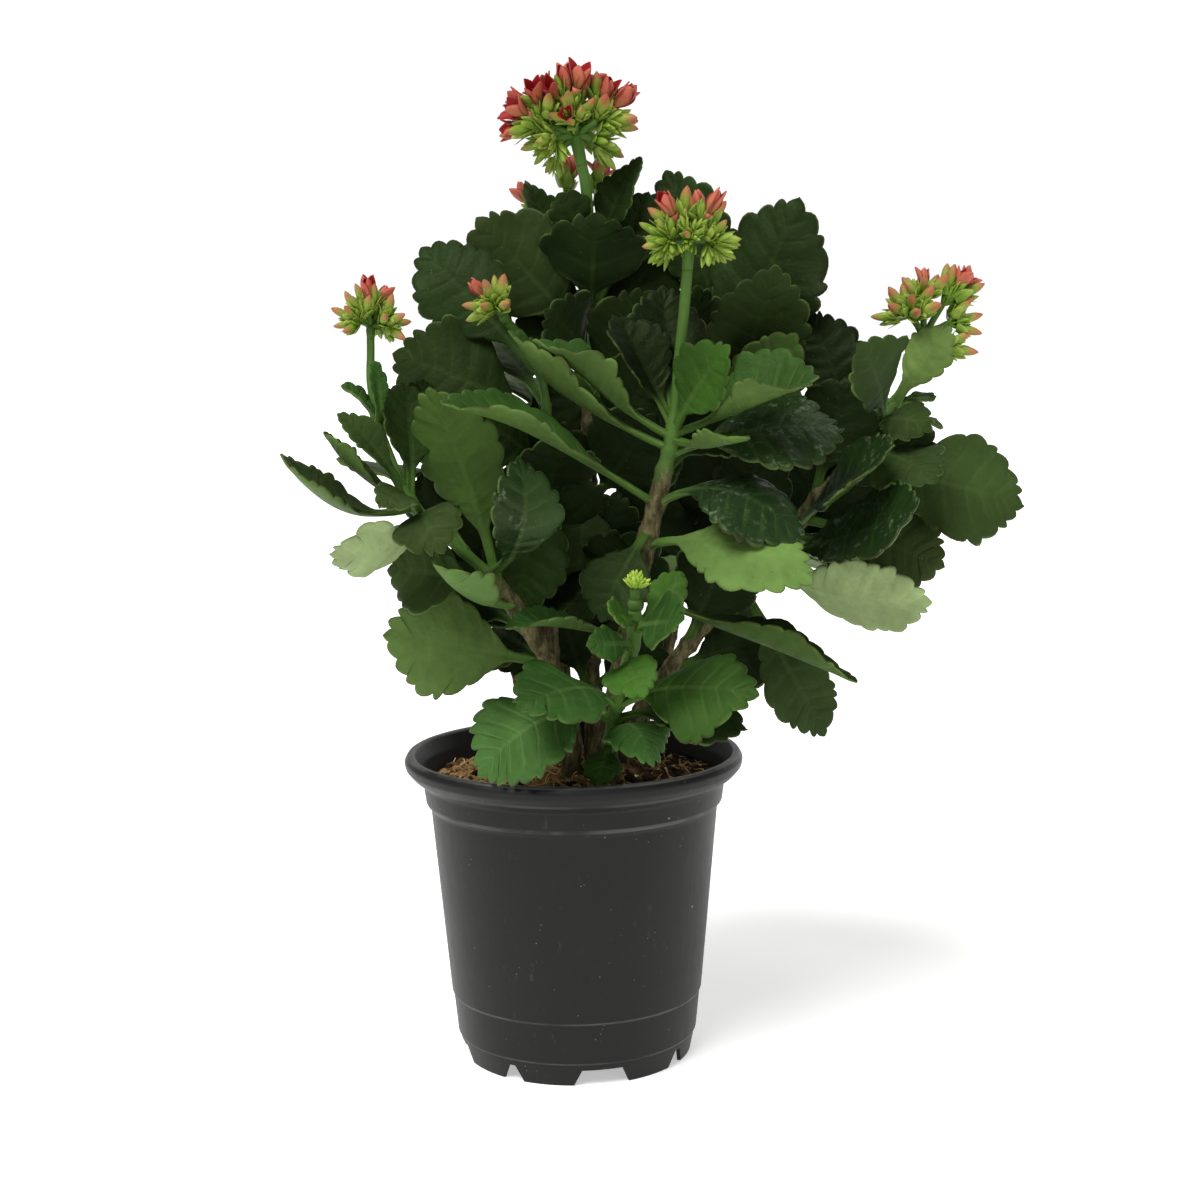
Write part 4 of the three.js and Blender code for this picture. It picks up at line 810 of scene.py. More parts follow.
def build_soil(settings):
    """The root ball: a plain side, a rough surface, and loose crumbs and fibres on it."""
    rng = np.random.default_rng(41)
    piece = Piece()
    turn = turns(SOIL_SIDES)
    share = np.sqrt(np.linspace(1, 0.0004, SOIL_ROWS))
    radius = SOIL_RADIUS * share
    x, y = np.outer(radius, np.sin(turn)), np.outer(radius, -np.cos(turn))
    rough = 1.5 * crumb_noise(x, y, 0.34, 3) + 0.9 * crumb_noise(x, y, 0.8, 9) + 0.35 * crumb_noise(x, y, 1.7, 5)
    z = soil_height(x, y) + settings.clods * rough * np.minimum(1, 6 * (1 - share) + 0.2)[:, None]
    side = [np.stack([r * np.sin(turn), -r * np.cos(turn), np.full(SOIL_SIDES, h)], -1) for r, h in ROOT_BALL]
    middles = [[0, 0, ROOT_BALL[0][1]], [0, 0, z[-1].mean()]]
    points = np.vstack([*side, *np.stack([x, y, z], -1), middles])
    dark, light = np.array(settings.peat_dark), np.array(settings.peat_light)
    # painted light: lighter towards the left, where light falls in over the rim, on top of the peat's own lighter
    # and darker patches
    patch = 0.5 + 0.9 * crumb_noise(points[:, 0], points[:, 1], 0.12, 20)
    lit = np.clip(patch + 0.15 - points[:, 0] / 60, 0, 1)[:, None]
    piece.add(points, closed_faces(len(side) + SOIL_ROWS, SOIL_SIDES), crumb=mix(dark, light, lit * 0.8))

    def somewhere(reach):
        far, way = reach * math.sqrt(rng.random()), rng.random() * math.tau
        return far * math.sin(way), -far * math.cos(way)

    for _ in range(settings.crumbs):
        place = somewhere(55)
        add_crumb(piece, rng, *place, 0.45 + 1.7 * rng.random() ** 3, settings)
    for _ in range(settings.fibres):
        add_fibre(piece, rng, *somewhere(53), settings)
    piece.build("root_ball", [peat_finish()], ["soil"])


def add_crumb(piece, rng, x, y, size, settings):
    """One loose crumb of peat, or now and then a pale chip."""
    rows, around = 5, 7
    tilt, spin = rng.normal(0, 0.6, 2), rng.random() * math.tau
    flat = rng.uniform(0.45, 1)
    rise = np.linspace(-1, 1, rows + 2)[1:-1]
    turn = turns(around) + spin
    wide = np.sqrt(1 - rise**2)[:, None] * rng.uniform(0.75, 1.25, (rows, around))
    px, py = wide * np.cos(turn) * rng.uniform(0.7, 1.3), wide * np.sin(turn)
    pz = np.repeat(rise[:, None], around, 1) * flat + px * tilt[0] * 0.4 + py * tilt[1] * 0.4
    points = np.stack([px, py, pz], -1).reshape(-1, 3) * size
    points = np.vstack([points, [[0, 0, -flat * size], [0, 0, flat * size]]])
    points = points + np.array([x, y, soil_height(x, y) + size * 0.15])
    is_chip = rng.random() > 0.972
    # painted light: crumbs lighter towards the left, on top of their own random tone
    light = rng.random() ** 1.6 * np.clip(0.7 - x / 55, 0.06, 1)
    colour = mix(np.array(settings.peat_dark), np.array(settings.peat_light), light)
    if is_chip:
        colour = np.array(settings.pale_chip)
    piece.add(points, closed_faces(rows, around), crumb=colour)


def add_fibre(piece, rng, x, y, settings):
    """One thin bent fibre that lies on the peat with one end up."""
    way, length = rng.random() * math.tau, rng.uniform(4, 15)
    bend = rng.normal(0, 0.09)
    steps = np.linspace(-0.5, 0.5, 8) * length
    turn = way + bend * steps
    px = np.clip(x + steps * np.cos(turn), -54, 54)
    py = np.clip(y + steps * np.sin(turn), -54, 54)
    keep = np.minimum(1, 55 / np.maximum(1, np.hypot(px, py)))
    px, py = px * keep, py * keep
    lift = rng.uniform(0.1, 2.6) * np.abs(np.linspace(-0.4, 1, 8)) ** 2 + 0.5
    points, faces, _ = tube(np.stack([px, py, soil_height(px, py) + lift], -1), rng.uniform(0.13, 0.3), 5)
    # painted light: fibres lighter and more golden towards the left, on top of their own random tone
    light = rng.random() * np.clip(0.75 - x / 55, 0.08, 1)
    piece.add(points, faces, crumb=mix(np.array(settings.peat_light), np.array(settings.fibre_gold), light))


# ---- Leaves and stems ----
def blade_edge(width, length, crowns, settings, rng):
    """One half of a leaf's edge: across, along, share of the edge, and how many crowns have passed."""
    share = 0.5 - 0.5 * np.cos(np.linspace(0, math.pi, 240))
    along = mix(BLADE_START, 1.0, share)
    draw = rng.random(2) * 6
    swell = 1 + (0.06 * np.sin(5 * share + draw[0]) + 0.04 * np.sin(12 * share + draw[1])) * share
    bulge = width / 2 * np.sin(math.pi * share**1.25) ** 0.78 * swell
    half = (2.0**4 + np.maximum(bulge, 0) ** 4) ** 0.25 * np.clip((1 - share) * 60, 0, 1)
    x, y = half, along * length
    step = np.append(0, np.cumsum(np.hypot(np.diff(x), np.diff(y))))
    edge = step / step[-1]
    spans = rng.uniform(0.55, 1.6, crowns) * np.linspace(1.3, 0.85, crowns)
    ends = settings.edge_start + (1 - settings.edge_start) * np.append(0, np.cumsum(spans)) / (spans.sum() + 0.55)
    e = [settings.edge_start * s for s in (0.0, 0.25, 0.5, 0.75)]
    passed, lift, lean = [0.0] * 4, [0.0] * 4, [0.0] * 4
    for i in range(crowns + 1):
        last = i == crowns
        end = ends[i + 1] if not last else 1 + (1 - ends[i])
        size = rng.uniform(0.6, 1.5) * (0.5 + 0.5 * min(1, i / 2)) if not last else 0.9
        for f in (0, 0.06, 0.2, 0.38, 0.5) if last else (0, 0.06, 0.2, 0.4, 0.62, 0.82, 0.95):
            hump = math.sin(math.pi * f ** (1 if last else 1.12))
            e.append(mix(ends[i], end, f))
            passed.append(i + f)
            lift.append(size * (hump**0.75 - 0.5))
            lean.append(size * hump)
    e, lift, lean = np.array(e), np.array(lift), np.array(lean)
    relief = settings.crown_height * (0.62 * width + 10)
    px, py, tx, ty = (np.interp(e, edge, values) for values in (x, y, np.gradient(x, edge), np.gradient(y, edge)))
    size = np.hypot(tx, ty)
    tx, ty = tx / size, ty / size
    tx[-1], ty[-1] = -1, 0
    px = px + relief * (lift * ty + 0.28 * lean * tx)
    py = py + relief * (-lift * tx + 0.28 * lean * ty)
    px[-1] = 0
    return np.maximum(px, 0), py, e, np.array(passed)


def leaf_foot(shoot, spine, height, tip):
    """Where a leaf leaves its stem, and how the stem runs there."""
    along = unit(spine.at(height + 2) - spine.at(height - 2))
    aim = np.array(tip, float) - spine.at(height)
    aim = unit(aim - along * np.dot(aim, along))
    radius = shoot["wood"] if height < shoot["wood_to"] else shoot["green"]
    return spine.at(height) + aim * radius * 0.5


def grow_leaf(piece, shoot, spine, row, settings, rng):
    """Lofts one closed leaf along its rib: a round stalk, then a fleshy blade with crowned edges."""
    height, tip, width, face, arch, fold, look = row
    foot = leaf_foot(shoot, spine, height, tip)
    tip = np.array(tip, float)
    length = np.linalg.norm(tip - foot)
    along = (tip - foot) / length
    up = unit(np.array(face, float) - along * np.dot(face, along))
    across = np.cross(along, up)
    knee = (foot + tip) / 2 + 2 * arch * up
    crowns = int(np.clip(round(length * 0.88 / (3.9 + 0.1 * width)), 3, 7)) + 2 * (look == "bright")
    halves = [blade_edge(width, length, crowns, settings, rng) for _ in range(2)]
    stalk_y = np.array([0.0, 0.03, 0.075, 0.13, 0.18]) * length
    stalk_x = mix(1.5, 1.95, stalk_y / (BLADE_START * length)) + 1.1 * np.exp(-stalk_y / 2.2)
    x = [np.append(stalk_x, half[0]) for half in halves]
    y = [np.append(stalk_y, half[1]) for half in halves]
    edge, passed = (np.append(np.zeros(len(stalk_y)), values) for values in halves[0][2:])
    rib = sum(b / length - settings.vein_slant * a / length for a, b in zip(x, y)) / 2
    rib = np.minimum(rib - 0.07 * ease(0.55, 1, edge), y[0] / length)
    rib = np.maximum.accumulate(np.maximum(rib, 0) + np.arange(len(rib)) * 1e-4)
    rib = even_rows(rib)

    top = np.concatenate([-ACROSS_SHARES[::-1], [0], ACROSS_SHARES])
    ring = np.concatenate([top, top[-2:0:-1]])
    under = np.concatenate([np.zeros(len(top)), np.ones(len(top) - 2)])
    under[[0, len(top) - 1]] = 0.5
    left = ring < 0
    wide = np.where(left, x[0][:, None], x[1][:, None])
    high = np.where(left, y[0][:, None], y[1][:, None])
    v = np.abs(ring) + np.zeros_like(wide)
    s = ring * wide
    t = rib[:, None] + v**1.15 * (high / length - rib[:, None])
    blade = ease(0.14, 0.34, t)

    share = np.minimum(1, np.abs(s) / (width / 2))
    phase = 0.7 * tip[0] + 0.4 * tip[2]
    angle = np.radians(fold) * mix(0.35, 1.0, share)
    wave = 0.05 * width * share**2 * np.sin(9 * t + phase + np.where(s > 0, 0, 2))
    crown = passed[:, None] + np.where(left, 0.37, 0.0)
    draw = rng.random(4) * 6
    fast = np.sin(math.pi * crown * 0.9 + draw[0] + np.where(left, 2, 0))
    slow = np.sin(math.pi * crown * 0.37 + draw[1] + np.where(left, 0, 3))
    wave += settings.flutter * width * blade * (v**3 * fast + 0.6 * v**2 * slow)
    wave += settings.quilting * blade * v * (1 - v) * 4 * np.cos(2 * math.pi * passed)[:, None]
    wave += settings.roll * width * blade * share**2 * np.sin(4.4 * t + draw[2] + np.where(left, 1.5, 0))
    wave += rng.normal(0, settings.curl) * length * ease(0.5, 1.05, t) ** 2
    twist = math.radians(rng.normal(0, 9)) * blade * t

    inside = np.clip(t, 0, 1)[..., None]
    past = np.maximum(t - 1, 0)[..., None]
    middle = (1 - inside) ** 2 * foot + 2 * inside * (1 - inside) * knee + inside**2 * tip
    run = 2 * (1 - inside) * (knee - foot) + 2 * inside * (tip - knee)
    middle = middle + run * past
    normal = np.cross(across, run)
    normal /= np.linalg.norm(normal, axis=-1, keepdims=True)
    thick = mix(2.9, settings.leaf_thickness, ease(0.1, 0.3, t))
    flat = np.clip(1 - 1.15 / np.maximum(wide, 0.5), 0, 0.965)
    body = thick / 2 * np.sqrt(np.maximum(0, 1 - (np.maximum(0, v - flat) / (1 - flat)) ** 2))
    side = np.where(under == 0.5, 0, np.where(under > 0.5, -1, 1))
    fade = 1 - ease(0.75, 0.98, edge)[:, None]
    groove = -0.5 * np.exp(-((s / 1.3) ** 2)) * (1 - 0.6 * t) * fade
    ridge = -0.9 * np.exp(-((s / 1.5) ** 2)) * (1 - 0.75 * t) * fade * blade
    lift = side * body + np.where(side > 0, groove, np.where(side < 0, ridge, 0))
    points = (
        middle
        + across * (s * np.cos(angle))[..., None]
        + normal * (np.abs(s) * np.sin(angle) + s * np.sin(twist) + wave + lift)[..., None]
    )
    rows, around = points.shape[:2]
    index = np.arange(rows * around).reshape(rows, around)
    mirrored = np.concatenate([np.arange(len(top))[::-1], np.arange(len(top), around)[::-1]])
    index[-1] = np.where(left, index[-1][mirrored], index[-1])
    after = np.roll(index, -1, 1)
    quads = np.stack([index[:-1], after[:-1], after[1:], index[1:]], -1).reshape(-1, 4)
    cap = np.stack([after[0], index[0], np.full(around, rows * around)], -1)
    points = np.vstack([points.reshape(-1, 3), [foot]])

    def spread(values):
        return np.append(np.broadcast_to(values, (rows, around)).ravel(), 0)

    upper, lower, shine, veined = settings.looks()[look]
    tone = rng.normal(1, 0.09) * np.array([1 + rng.normal(0, 0.05), 1, 1 + rng.normal(0, 0.06)])
    # painted light and shade on each blade: darker towards the stalk, where the plant shades it, and lighter
    # towards the tip; one half of the blade is painted lighter than the other, as if lit from that side
    painted_lit_half = 0.07 * np.sign(draw[3] - 3) * spread(np.tanh(s / 3))
    painted_light_and_shade = (1 + 0.22 * (spread(t) - 0.6) + painted_lit_half)[:, None]
    keep, quads, cap = drop_loose(points, quads, cap)
    piece.add(
        points[keep], [quads, cap], 2 if look == "glossy" else 1,
        across=spread(v)[keep], along=spread(t)[keep], vein=spread(passed[:, None])[keep],
        under=spread(under)[keep], from_rib=spread(np.abs(s))[keep], shine=shine, veined=veined,
        upper_side=(np.array(upper) * tone * painted_light_and_shade)[keep],
        lower_side=(np.array(lower) * (0.5 + 0.5 * tone) * painted_light_and_shade)[keep],
    )


def even_rows(rib):
    """Gently evens the spacing of the rows where they meet the rib."""
    kernel = np.array([1, 2, 3, 2, 1]) / 9
    padded = np.concatenate([2 * rib[0] - rib[2:0:-1], rib, 2 * rib[-1] - rib[-2:-4:-1]])
    return np.maximum.accumulate(np.convolve(padded, kernel, "valid"))


def drop_loose(points, *groups):
    """Numbers the faces again without the points that none uses."""
    used = np.unique(np.concatenate([g.ravel() for g in groups]))
    number = np.zeros(len(points), int)
    number[used] = np.arange(len(used))
    return (used, *[number[g] for g in groups])


def stalk_light(height):
    """How much lighter a green stalk is at a height than low down."""
    return mix(1, BRIGHTER, ease(BRIGHT_FROM, BRIGHT_TO, height))


def build_stem(piece, shoot, spine, settings, rng, headed):
    """A tapering stem with a ring at each leaf, from under the soil to where the head sits."""
    line = spine.line
    foot = line[0]
    heights = np.arange(foot[2], line[-1][2], 1.6)
    path = [foot + (0, 0, z - foot[2]) for z in np.arange(72, foot[2] - 1, 5)]
    path += [spine.at(z) for z in heights] + [line[-1]]
    if headed:
        path.append(line[-1] + spine.along_end * 1.1)
    path = np.array(path)
    z = path[:, 2]
    base = 1 + 0.28 * (1 - ease(112, 132, z))
    radius = mix(shoot["wood"] * base, shoot["green"], ease(shoot["wood_to"] - 22, shoot["wood_to"] + 8, z))
    for row in shoot["leaves"]:
        radius = radius + 0.55 * np.exp(-(((z - row[0]) / 1.7) ** 2))
    bark = 1 - ease(shoot["wood_to"] - 26, shoot["wood_to"] + 4, z)
    for height in np.arange(foot[2] + 6, shoot["wood_to"] - 6, 9):
        radius = radius + 0.4 * np.exp(-(((z - height - rng.normal(0, 1.5)) / 1.1) ** 2)) * bark
    if not headed:
        radius = radius * np.sqrt(np.clip((line[-1][2] + 0.4 - z) / 3, 0.05, 1))
    points, faces, rows = tube(path, radius, 14)
    lumps = np.array([noise.noise(Vector(p * 0.16)) + 0.5 * noise.noise(Vector(p * 0.5)) for p in points])
    points = path[rows] + (points - path[rows]) * (1 + bark[rows] * 0.09 * lumps)[:, None]
    green = np.array(settings.stalk_green) * stalk_light(z)[rows][:, None]
    piece.add(points, faces, 0, woody=bark[rows], stalk=green)


def made(name, make, *values):
    """The finish of this name, which is made when it is first asked for."""
    return bpy.data.materials.get(name) or make(*values)


def build_shoot(name, settings):
    """One shoot: its stem and all its leaves."""
    shoot = SHOOTS[name]
    spine = Spine(shoot["spine"])
    rng = np.random.default_rng(sum(map(ord, name)))
    piece = Piece()
    headed = any(head["shoot"] == name for head in HEADS.values())
    build_stem(piece, shoot, spine, settings, rng, headed)
    for row in shoot["leaves"]:
        grow_leaf(piece, shoot, spine, row, settings, rng)
    finishes = [
        made("stem_and_bark", stem_finish, settings),
        made("waxy_leaf", leaf_finish, settings, "waxy_leaf", settings.leaf_gloss),
        made("glossy_leaf", leaf_finish, settings, "glossy_leaf", settings.old_leaf_gloss),
    ]
    piece.build("leafy_" + name, finishes, [name])


# ---- Buds and flowers ----
def turned(points, base, aim, spin):
    """Stands points drawn up +Z at base, along aim, turned by spin."""
    right, up = across_of(aim)
    c, s = math.cos(spin), math.sin(spin)
    right, up = right * c + up * s, up * c - right * s
    return base + points[:, :1] * right - points[:, 1:2] * up + points[:, 2:] * aim


def sepal(length, width, bend):
    """A fleshy pointed scale, standing at +X and leaning out by bend."""
    thick, sides = 0.55, 6
    t = np.array([0, 0.22, 0.5, 0.76, 0.93, 1.0])
    wide = width / 2 * np.array([0.75, 1, 0.95, 0.62, 0.25, 0.03])
    out = bend * t**2 + 0.12 * length * np.sin(math.pi * t * 0.6)
    ring_x, ring_y = np.cos(turns(sides)) * thick / 2, np.sin(turns(sides))
    points = [
        np.stack([o + ring_x * (1 - 0.7 * k), ring_y * w, np.full(sides, k * length)], -1)
        for k, w, o in zip(t, wide, out)
    ]
    return np.vstack(points), ring_faces(len(t), sides), np.repeat(t, sides)


def petal(length, width, lean, bend, cup):
    """A pointed oval petal that leaves the tube leaning out by lean and ends at bend, hollow inside."""
    thick = 0.45
    t = np.array([0, 0.1, 0.22, 0.36, 0.5, 0.64, 0.78, 0.9, 0.97, 1.0])
    wide = width / 2 * np.array([0.42, 0.62, 0.84, 0.97, 1.0, 0.93, 0.72, 0.42, 0.18, 0.02])
    v = np.array([-1, -0.6, 0, 0.6, 1, 0.6, 0, -0.6])
    face = np.array([0.5, 1, 1, 1, 0.5, 0, 0, 0])
    turn = mix(lean, bend, t)
    step = np.diff(t, prepend=0) * length
    x, z = np.cumsum(np.sin(turn) * step), np.cumsum(np.cos(turn) * step)
    points = []
    for k in range(len(t)):
        hollow = cup * width * (v**2) * math.sin(math.pi * min(1, t[k] * 0.9 + 0.1)) + 0.25 * np.abs(v)
        skin = np.where(face > 0.7, -thick / 2, np.where(face < 0.3, thick / 2, 0)) - hollow
        points.append(np.stack([x[k] + skin * math.cos(turn[k]), wide[k] * v, z[k] - skin * math.sin(turn[k])], -1))
    return np.vstack(points), ring_faces(len(t), 8)[:, ::-1], np.repeat(t, 8), np.tile(face, len(t))


def around_axis(points, turn, out):
    """Moves points out from the +Z axis and turns them round it."""
    points = points + (out, 0, 0)
    c, s = math.cos(turn), math.sin(turn)
    return np.stack([points[:, 0] * c - points[:, 1] * s, points[:, 0] * s + points[:, 1] * c, points[:, 2]], -1)


def rings_round(radii, heights):
    """Rings of points round the +Z axis."""
    turn = turns(BUD_SIDES)
    return np.vstack([
        np.stack([radius * np.cos(turn), radius * np.sin(turn), np.full(BUD_SIDES, height)], -1)
        for radius, height in zip(radii, heights)
    ])


def add_stalk(piece, root, aim, start, radius, green):
    """The thin stalk of a bud or a flower; returns where it ends."""
    foot = root + aim * start
    points, faces, _ = tube([root, root + aim * start * 0.5, foot + aim * 0.5], radius, 6)
    piece.add(points, faces, outer_side=green * 0.85, inner_side=green, length=0)
    return foot


def add_bud(piece, root, aim, start, length, ripe, shades, settings, rng):
    """One closed bud: a thin stalk, a green cup of four pointed scales and a twisted pointed corolla."""
    green, pale, red = shades
    grown = min(1, ripe)
    radius = settings.bud_radius * length / FULL_BUD * mix(0.8, 1, grown)
    foot = add_stalk(piece, root, aim, start, 0.62 * min(1, length / 9 + 0.2), green)
    fresh = mix(green, pale, rng.random() * 0.6)
    u = np.array([0, 0.05, 0.15, 0.3, 0.46, 0.62, 0.76, 0.88, 0.96, 1.0])
    r = radius * np.array([0.35, 0.62, 0.8, 0.86, 0.86, 0.82, 0.7, 0.47, 0.22, 0.03])
    spin = rng.random() * math.tau
    twist = 0.1 * np.cos(4 * (turns(BUD_SIDES) + 0.8 * u[:, None])) * ease(0.3, 0.7, u)[:, None]
    points = turned(rings_round(r[:, None] * (1 + twist), u * length), foot, aim, spin)
    rows = np.repeat(u, BUD_SIDES)
    peach = mix(np.array(settings.bud_peach), red, np.clip(ripe - 0.5 + rng.normal(0, 0.15), 0, 1))
    share = ease(mix(0.8, 0.42, grown), mix(1.3, 0.85, grown), rows)[:, None] * min(1, ripe * 1.6)
    body = mix(fresh, peach, share)
    piece.add(points, [ring_faces(len(u), BUD_SIDES)], outer_side=body, inner_side=body, length=rows)
    for i in range(4):
        cup = length * mix(rng.uniform(0.66, 0.92), 0.5, grown)
        points, faces, t = sepal(cup, radius * 2, radius * rng.uniform(0.2, 1.3))
        points = turned(around_axis(points, i * math.pi / 2 + 0.4, radius * 0.72), foot, aim, spin)
        shade = fresh * rng.uniform(0.85, 1.1)
        colour = mix(shade, pale, 0.6 * ease(0.5, 1, t)[:, None])
        piece.add(points, [faces], outer_side=colour, inner_side=colour, length=0)


def add_flower(piece, root, aim, start, length, spread, settings, rng):
    """One opening flower: stalk, cup of scales, flared tube and four petals that curl outward."""
    tube_length = length * 0.36
    green, pale = np.array(settings.bud_green), np.array(settings.bud_peach)
    back = mix(np.array(settings.petal_back), np.array(settings.petal_pale), rng.random()) * rng.uniform(0.88, 1.1)
    face = np.array(settings.petal_face) * rng.uniform(0.85, 1.15)
    foot = add_stalk(piece, root, aim, start, 0.7, green)
    u = np.array([0, 0.1, 0.35, 0.65, 1.0, 0.9, 0.55])
    r = np.array([0.8, 1.6, 1.9, 1.7, 1.9, 1.3, 0.5])
    inner = np.repeat([0, 0, 0, 0, 0.5, 1, 1], BUD_SIDES)
    spin = rng.random() * math.tau
    points = turned(rings_round(r, u * tube_length), foot, aim, spin)
    piece.add(
        points, [ring_faces(len(u), BUD_SIDES)], inner_side=face * 0.6, inside=inner, length=0,
        outer_side=mix(green * 1.1, back, ease(0.25, 0.75, np.repeat(u, BUD_SIDES))[:, None]),
    )
    for i in range(4):
        points, faces, t = sepal(tube_length * rng.uniform(0.85, 1.1), 2.6, rng.uniform(0.4, 1.4))
        points = turned(around_axis(points, i * math.pi / 2 + 0.4, 1.45), foot, aim, spin)
        colour = mix(green, np.array(settings.bud_pale), 0.5 * ease(0.4, 1, t)[:, None])
        piece.add(points, [faces], outer_side=colour, inner_side=colour, length=0)
    mouth = foot + aim * tube_length * 0.92
    for i in range(4):
        size = (length - tube_length) * rng.uniform(0.95, 1.12)
        bend = math.radians(rng.normal(spread, 14)) - 0.25
        points, faces, t, side = petal(size, size * rng.uniform(0.54, 0.66), 0.42, bend, rng.uniform(0.12, 0.26))
        points = around_axis(points, i * math.pi / 2 + 1.2 + rng.normal(0, 0.1), 0.9)
        colour = mix(pale, back, ease(0.0, 0.75, t)[:, None])
        colour = mix(colour, face, 0.45 * (np.abs(side - 0.5) < 0.1)[:, None])
        points = turned(points, mouth, aim, spin)
        piece.add(points, [faces], outer_side=colour, inner_side=face, inside=side, length=t * 0.9)


def build_head(name, settings, leaves):
    """The stalk, forks, buds and flowers of one head."""
    head = HEADS[name]
    shoot = SHOOTS[head["shoot"]]
    spine = Spine(shoot["spine"])
    rng = np.random.default_rng(sum(map(ord, name)) + 7)
    piece = Piece()
    along, radius = spine.along_end, shoot["green"]
    foot = spine.line[-1] + along * 0.9
    neck = foot + along * head.get("rise", 3)
    green = np.array(leaves.stalk_green) * stalk_light(foot[2])
    young = name == "bud_low_front"
    shades = (settings.low_bud, settings.low_bud_tip) if young else (settings.bud_green, settings.bud_pale)
    shades = [np.array(colour) for colour in shades]
    shades.append(mix(np.array(settings.bud_peach), np.array(settings.petal_back), head.get("blush", 1)))

    def add_branch(path, radii, sides, colour):
        points, faces, _ = tube(path, radii, sides)
        piece.add(points, faces, 1, woody=0, stalk=colour)

    line = [foot, foot + along * 1.2, neck - along * 0.6, neck + along * 1.1]
    add_branch(line, np.array([1, 1.04, 1.2, 0.9]) * radius, 14, green)
    thick = radius * (0.8 if len(head["domes"]) == 1 else 0.62)
    for dome in head["domes"]:
        hub = neck + np.array(dome["hub"], float)
        axis = unit(dome.get("axis", dome["hub"]))
        reach, spread, size = dome["reach"], math.radians(dome["spread"]), dome.get("size", 1)
        flowers = dome.get("flowers", 0)
        count = dome["buds"] + flowers
        side_count = count * settings.side_buds
        path = [neck, mix(neck, hub, 0.5) + along * 0.4, hub, hub + axis * 1.5]
        add_branch(path, np.array([1.05, 0.95, 1, 0.5]) * thick, 12, green * 1.1)
        right, _ = across_of(axis)
        up = np.cross(axis, right)

        def aim_at(share, turn, stray):
            lean = math.acos(mix(1, math.cos(spread), share))
            flat = right * math.cos(turn) + up * math.sin(turn)
            aim = unit(axis * math.cos(lean) + flat * math.sin(lean))
            return unit(aim + rng.normal(0, stray, 3)), lean

        for i in range(count):
            aim, lean = aim_at((i + 0.4) / count, i * GOLDEN_ANGLE + 0.5, 0.11)
            length = reach * rng.uniform(0.86, 1.08)
            if i < flowers:
                whole = min(FULL_FLOWER * size, 0.86 * length)
                spread_by = dome.get("open", 16) * rng.uniform(0.2, 1.4)
                add_flower(piece, hub, aim, length - whole * 0.92, whole, spread_by, settings, rng)
            else:
                whole = min(FULL_BUD * size, 0.72 * length)
                ripe = 0.0 if young else dome.get("ripe", settings.ripeness) + rng.normal(0, 0.22) - 0.72 * lean
                add_bud(piece, hub, aim, length - whole, whole, max(0, ripe), shades, settings, rng)
        for i in range(int(side_count)):
            aim, _ = aim_at(min(1.02, (i + 0.75) / side_count), i * GOLDEN_ANGLE + 1.9, 0.2)
            length = reach * rng.uniform(0.5, 0.85)
            whole = min(SIDE_BUD * size, length * 0.72) * rng.uniform(0.7, 1)
            ripe = 0.0 if young else max(0, rng.normal(0.1, 0.15))
            add_bud(piece, hub, aim, length - whole, whole, ripe, shades, settings, rng)
    finishes = [made("bud_and_petal", bud_finish, settings), made("stem_and_bark", stem_finish, leaves)]
    piece.build("bloom_" + name, finishes, [name])


# ---- Settings ----
def size_of(label, note, default, low, high):
    return FloatProperty(name=label, description=note, default=default, min=low, max=high)


def colour_of(label, note, red, green, blue):
    return FloatVectorProperty(
        name=label, description=note, subtype="COLOR", size=3, min=0, max=1, default=tint(red, green, blue)
    )


class PotSettings(bpy.types.PropertyGroup):
    """The nursery pot."""

    edge_round: size_of("Edge rounding", "Rounding of the moulded edges in millimetres", 0.7, 0.1, 2)
    pot_roughness: size_of("Roughness", "How dull the plastic is", 0.45, 0.1, 1)
    pot_gloss: size_of("Gloss", "Strength of the plastic's reflections", 0.19, 0, 1)
    plastic: colour_of("Plastic", "Charcoal plastic", 17, 17, 17)
    plastic_worn: colour_of("Dulled plastic", "Plastic where it is rubbed dull", 25, 25, 24)
    # this grey is also the painted highlight line along the rim and the steps, besides wear and scuffs
    plastic_edge: colour_of("Worn edge", "Grey of the worn edges and scuffs", 92, 92, 88)


class SoilSettings(bpy.types.PropertyGroup):
    """The root ball's surface."""

    clods: size_of("Clods", "Height of the small lumps in millimetres", 1.0, 0, 3)
    crumbs: IntProperty(name="Crumbs", description="Loose crumbs on the surface", default=1500, min=0, max=5000)
    fibres: IntProperty(name="Fibres", description="Loose coir fibres on it", default=240, min=0, max=1000)
    # the mix of these two peat colours is partly painted light, lighter towards the left of the pot; it does not
    # follow the hollows or dryness
    peat_dark: colour_of("Dark peat", "Peat in the hollows", 34, 24, 15)
    peat_light: colour_of("Light peat", "Dry peat on top", 168, 132, 88)
    fibre_gold: colour_of("Fibre", "Dry golden fibres", 226, 190, 128)
    pale_chip: colour_of("Pale chips", "Bark and perlite chips", 224, 212, 184)


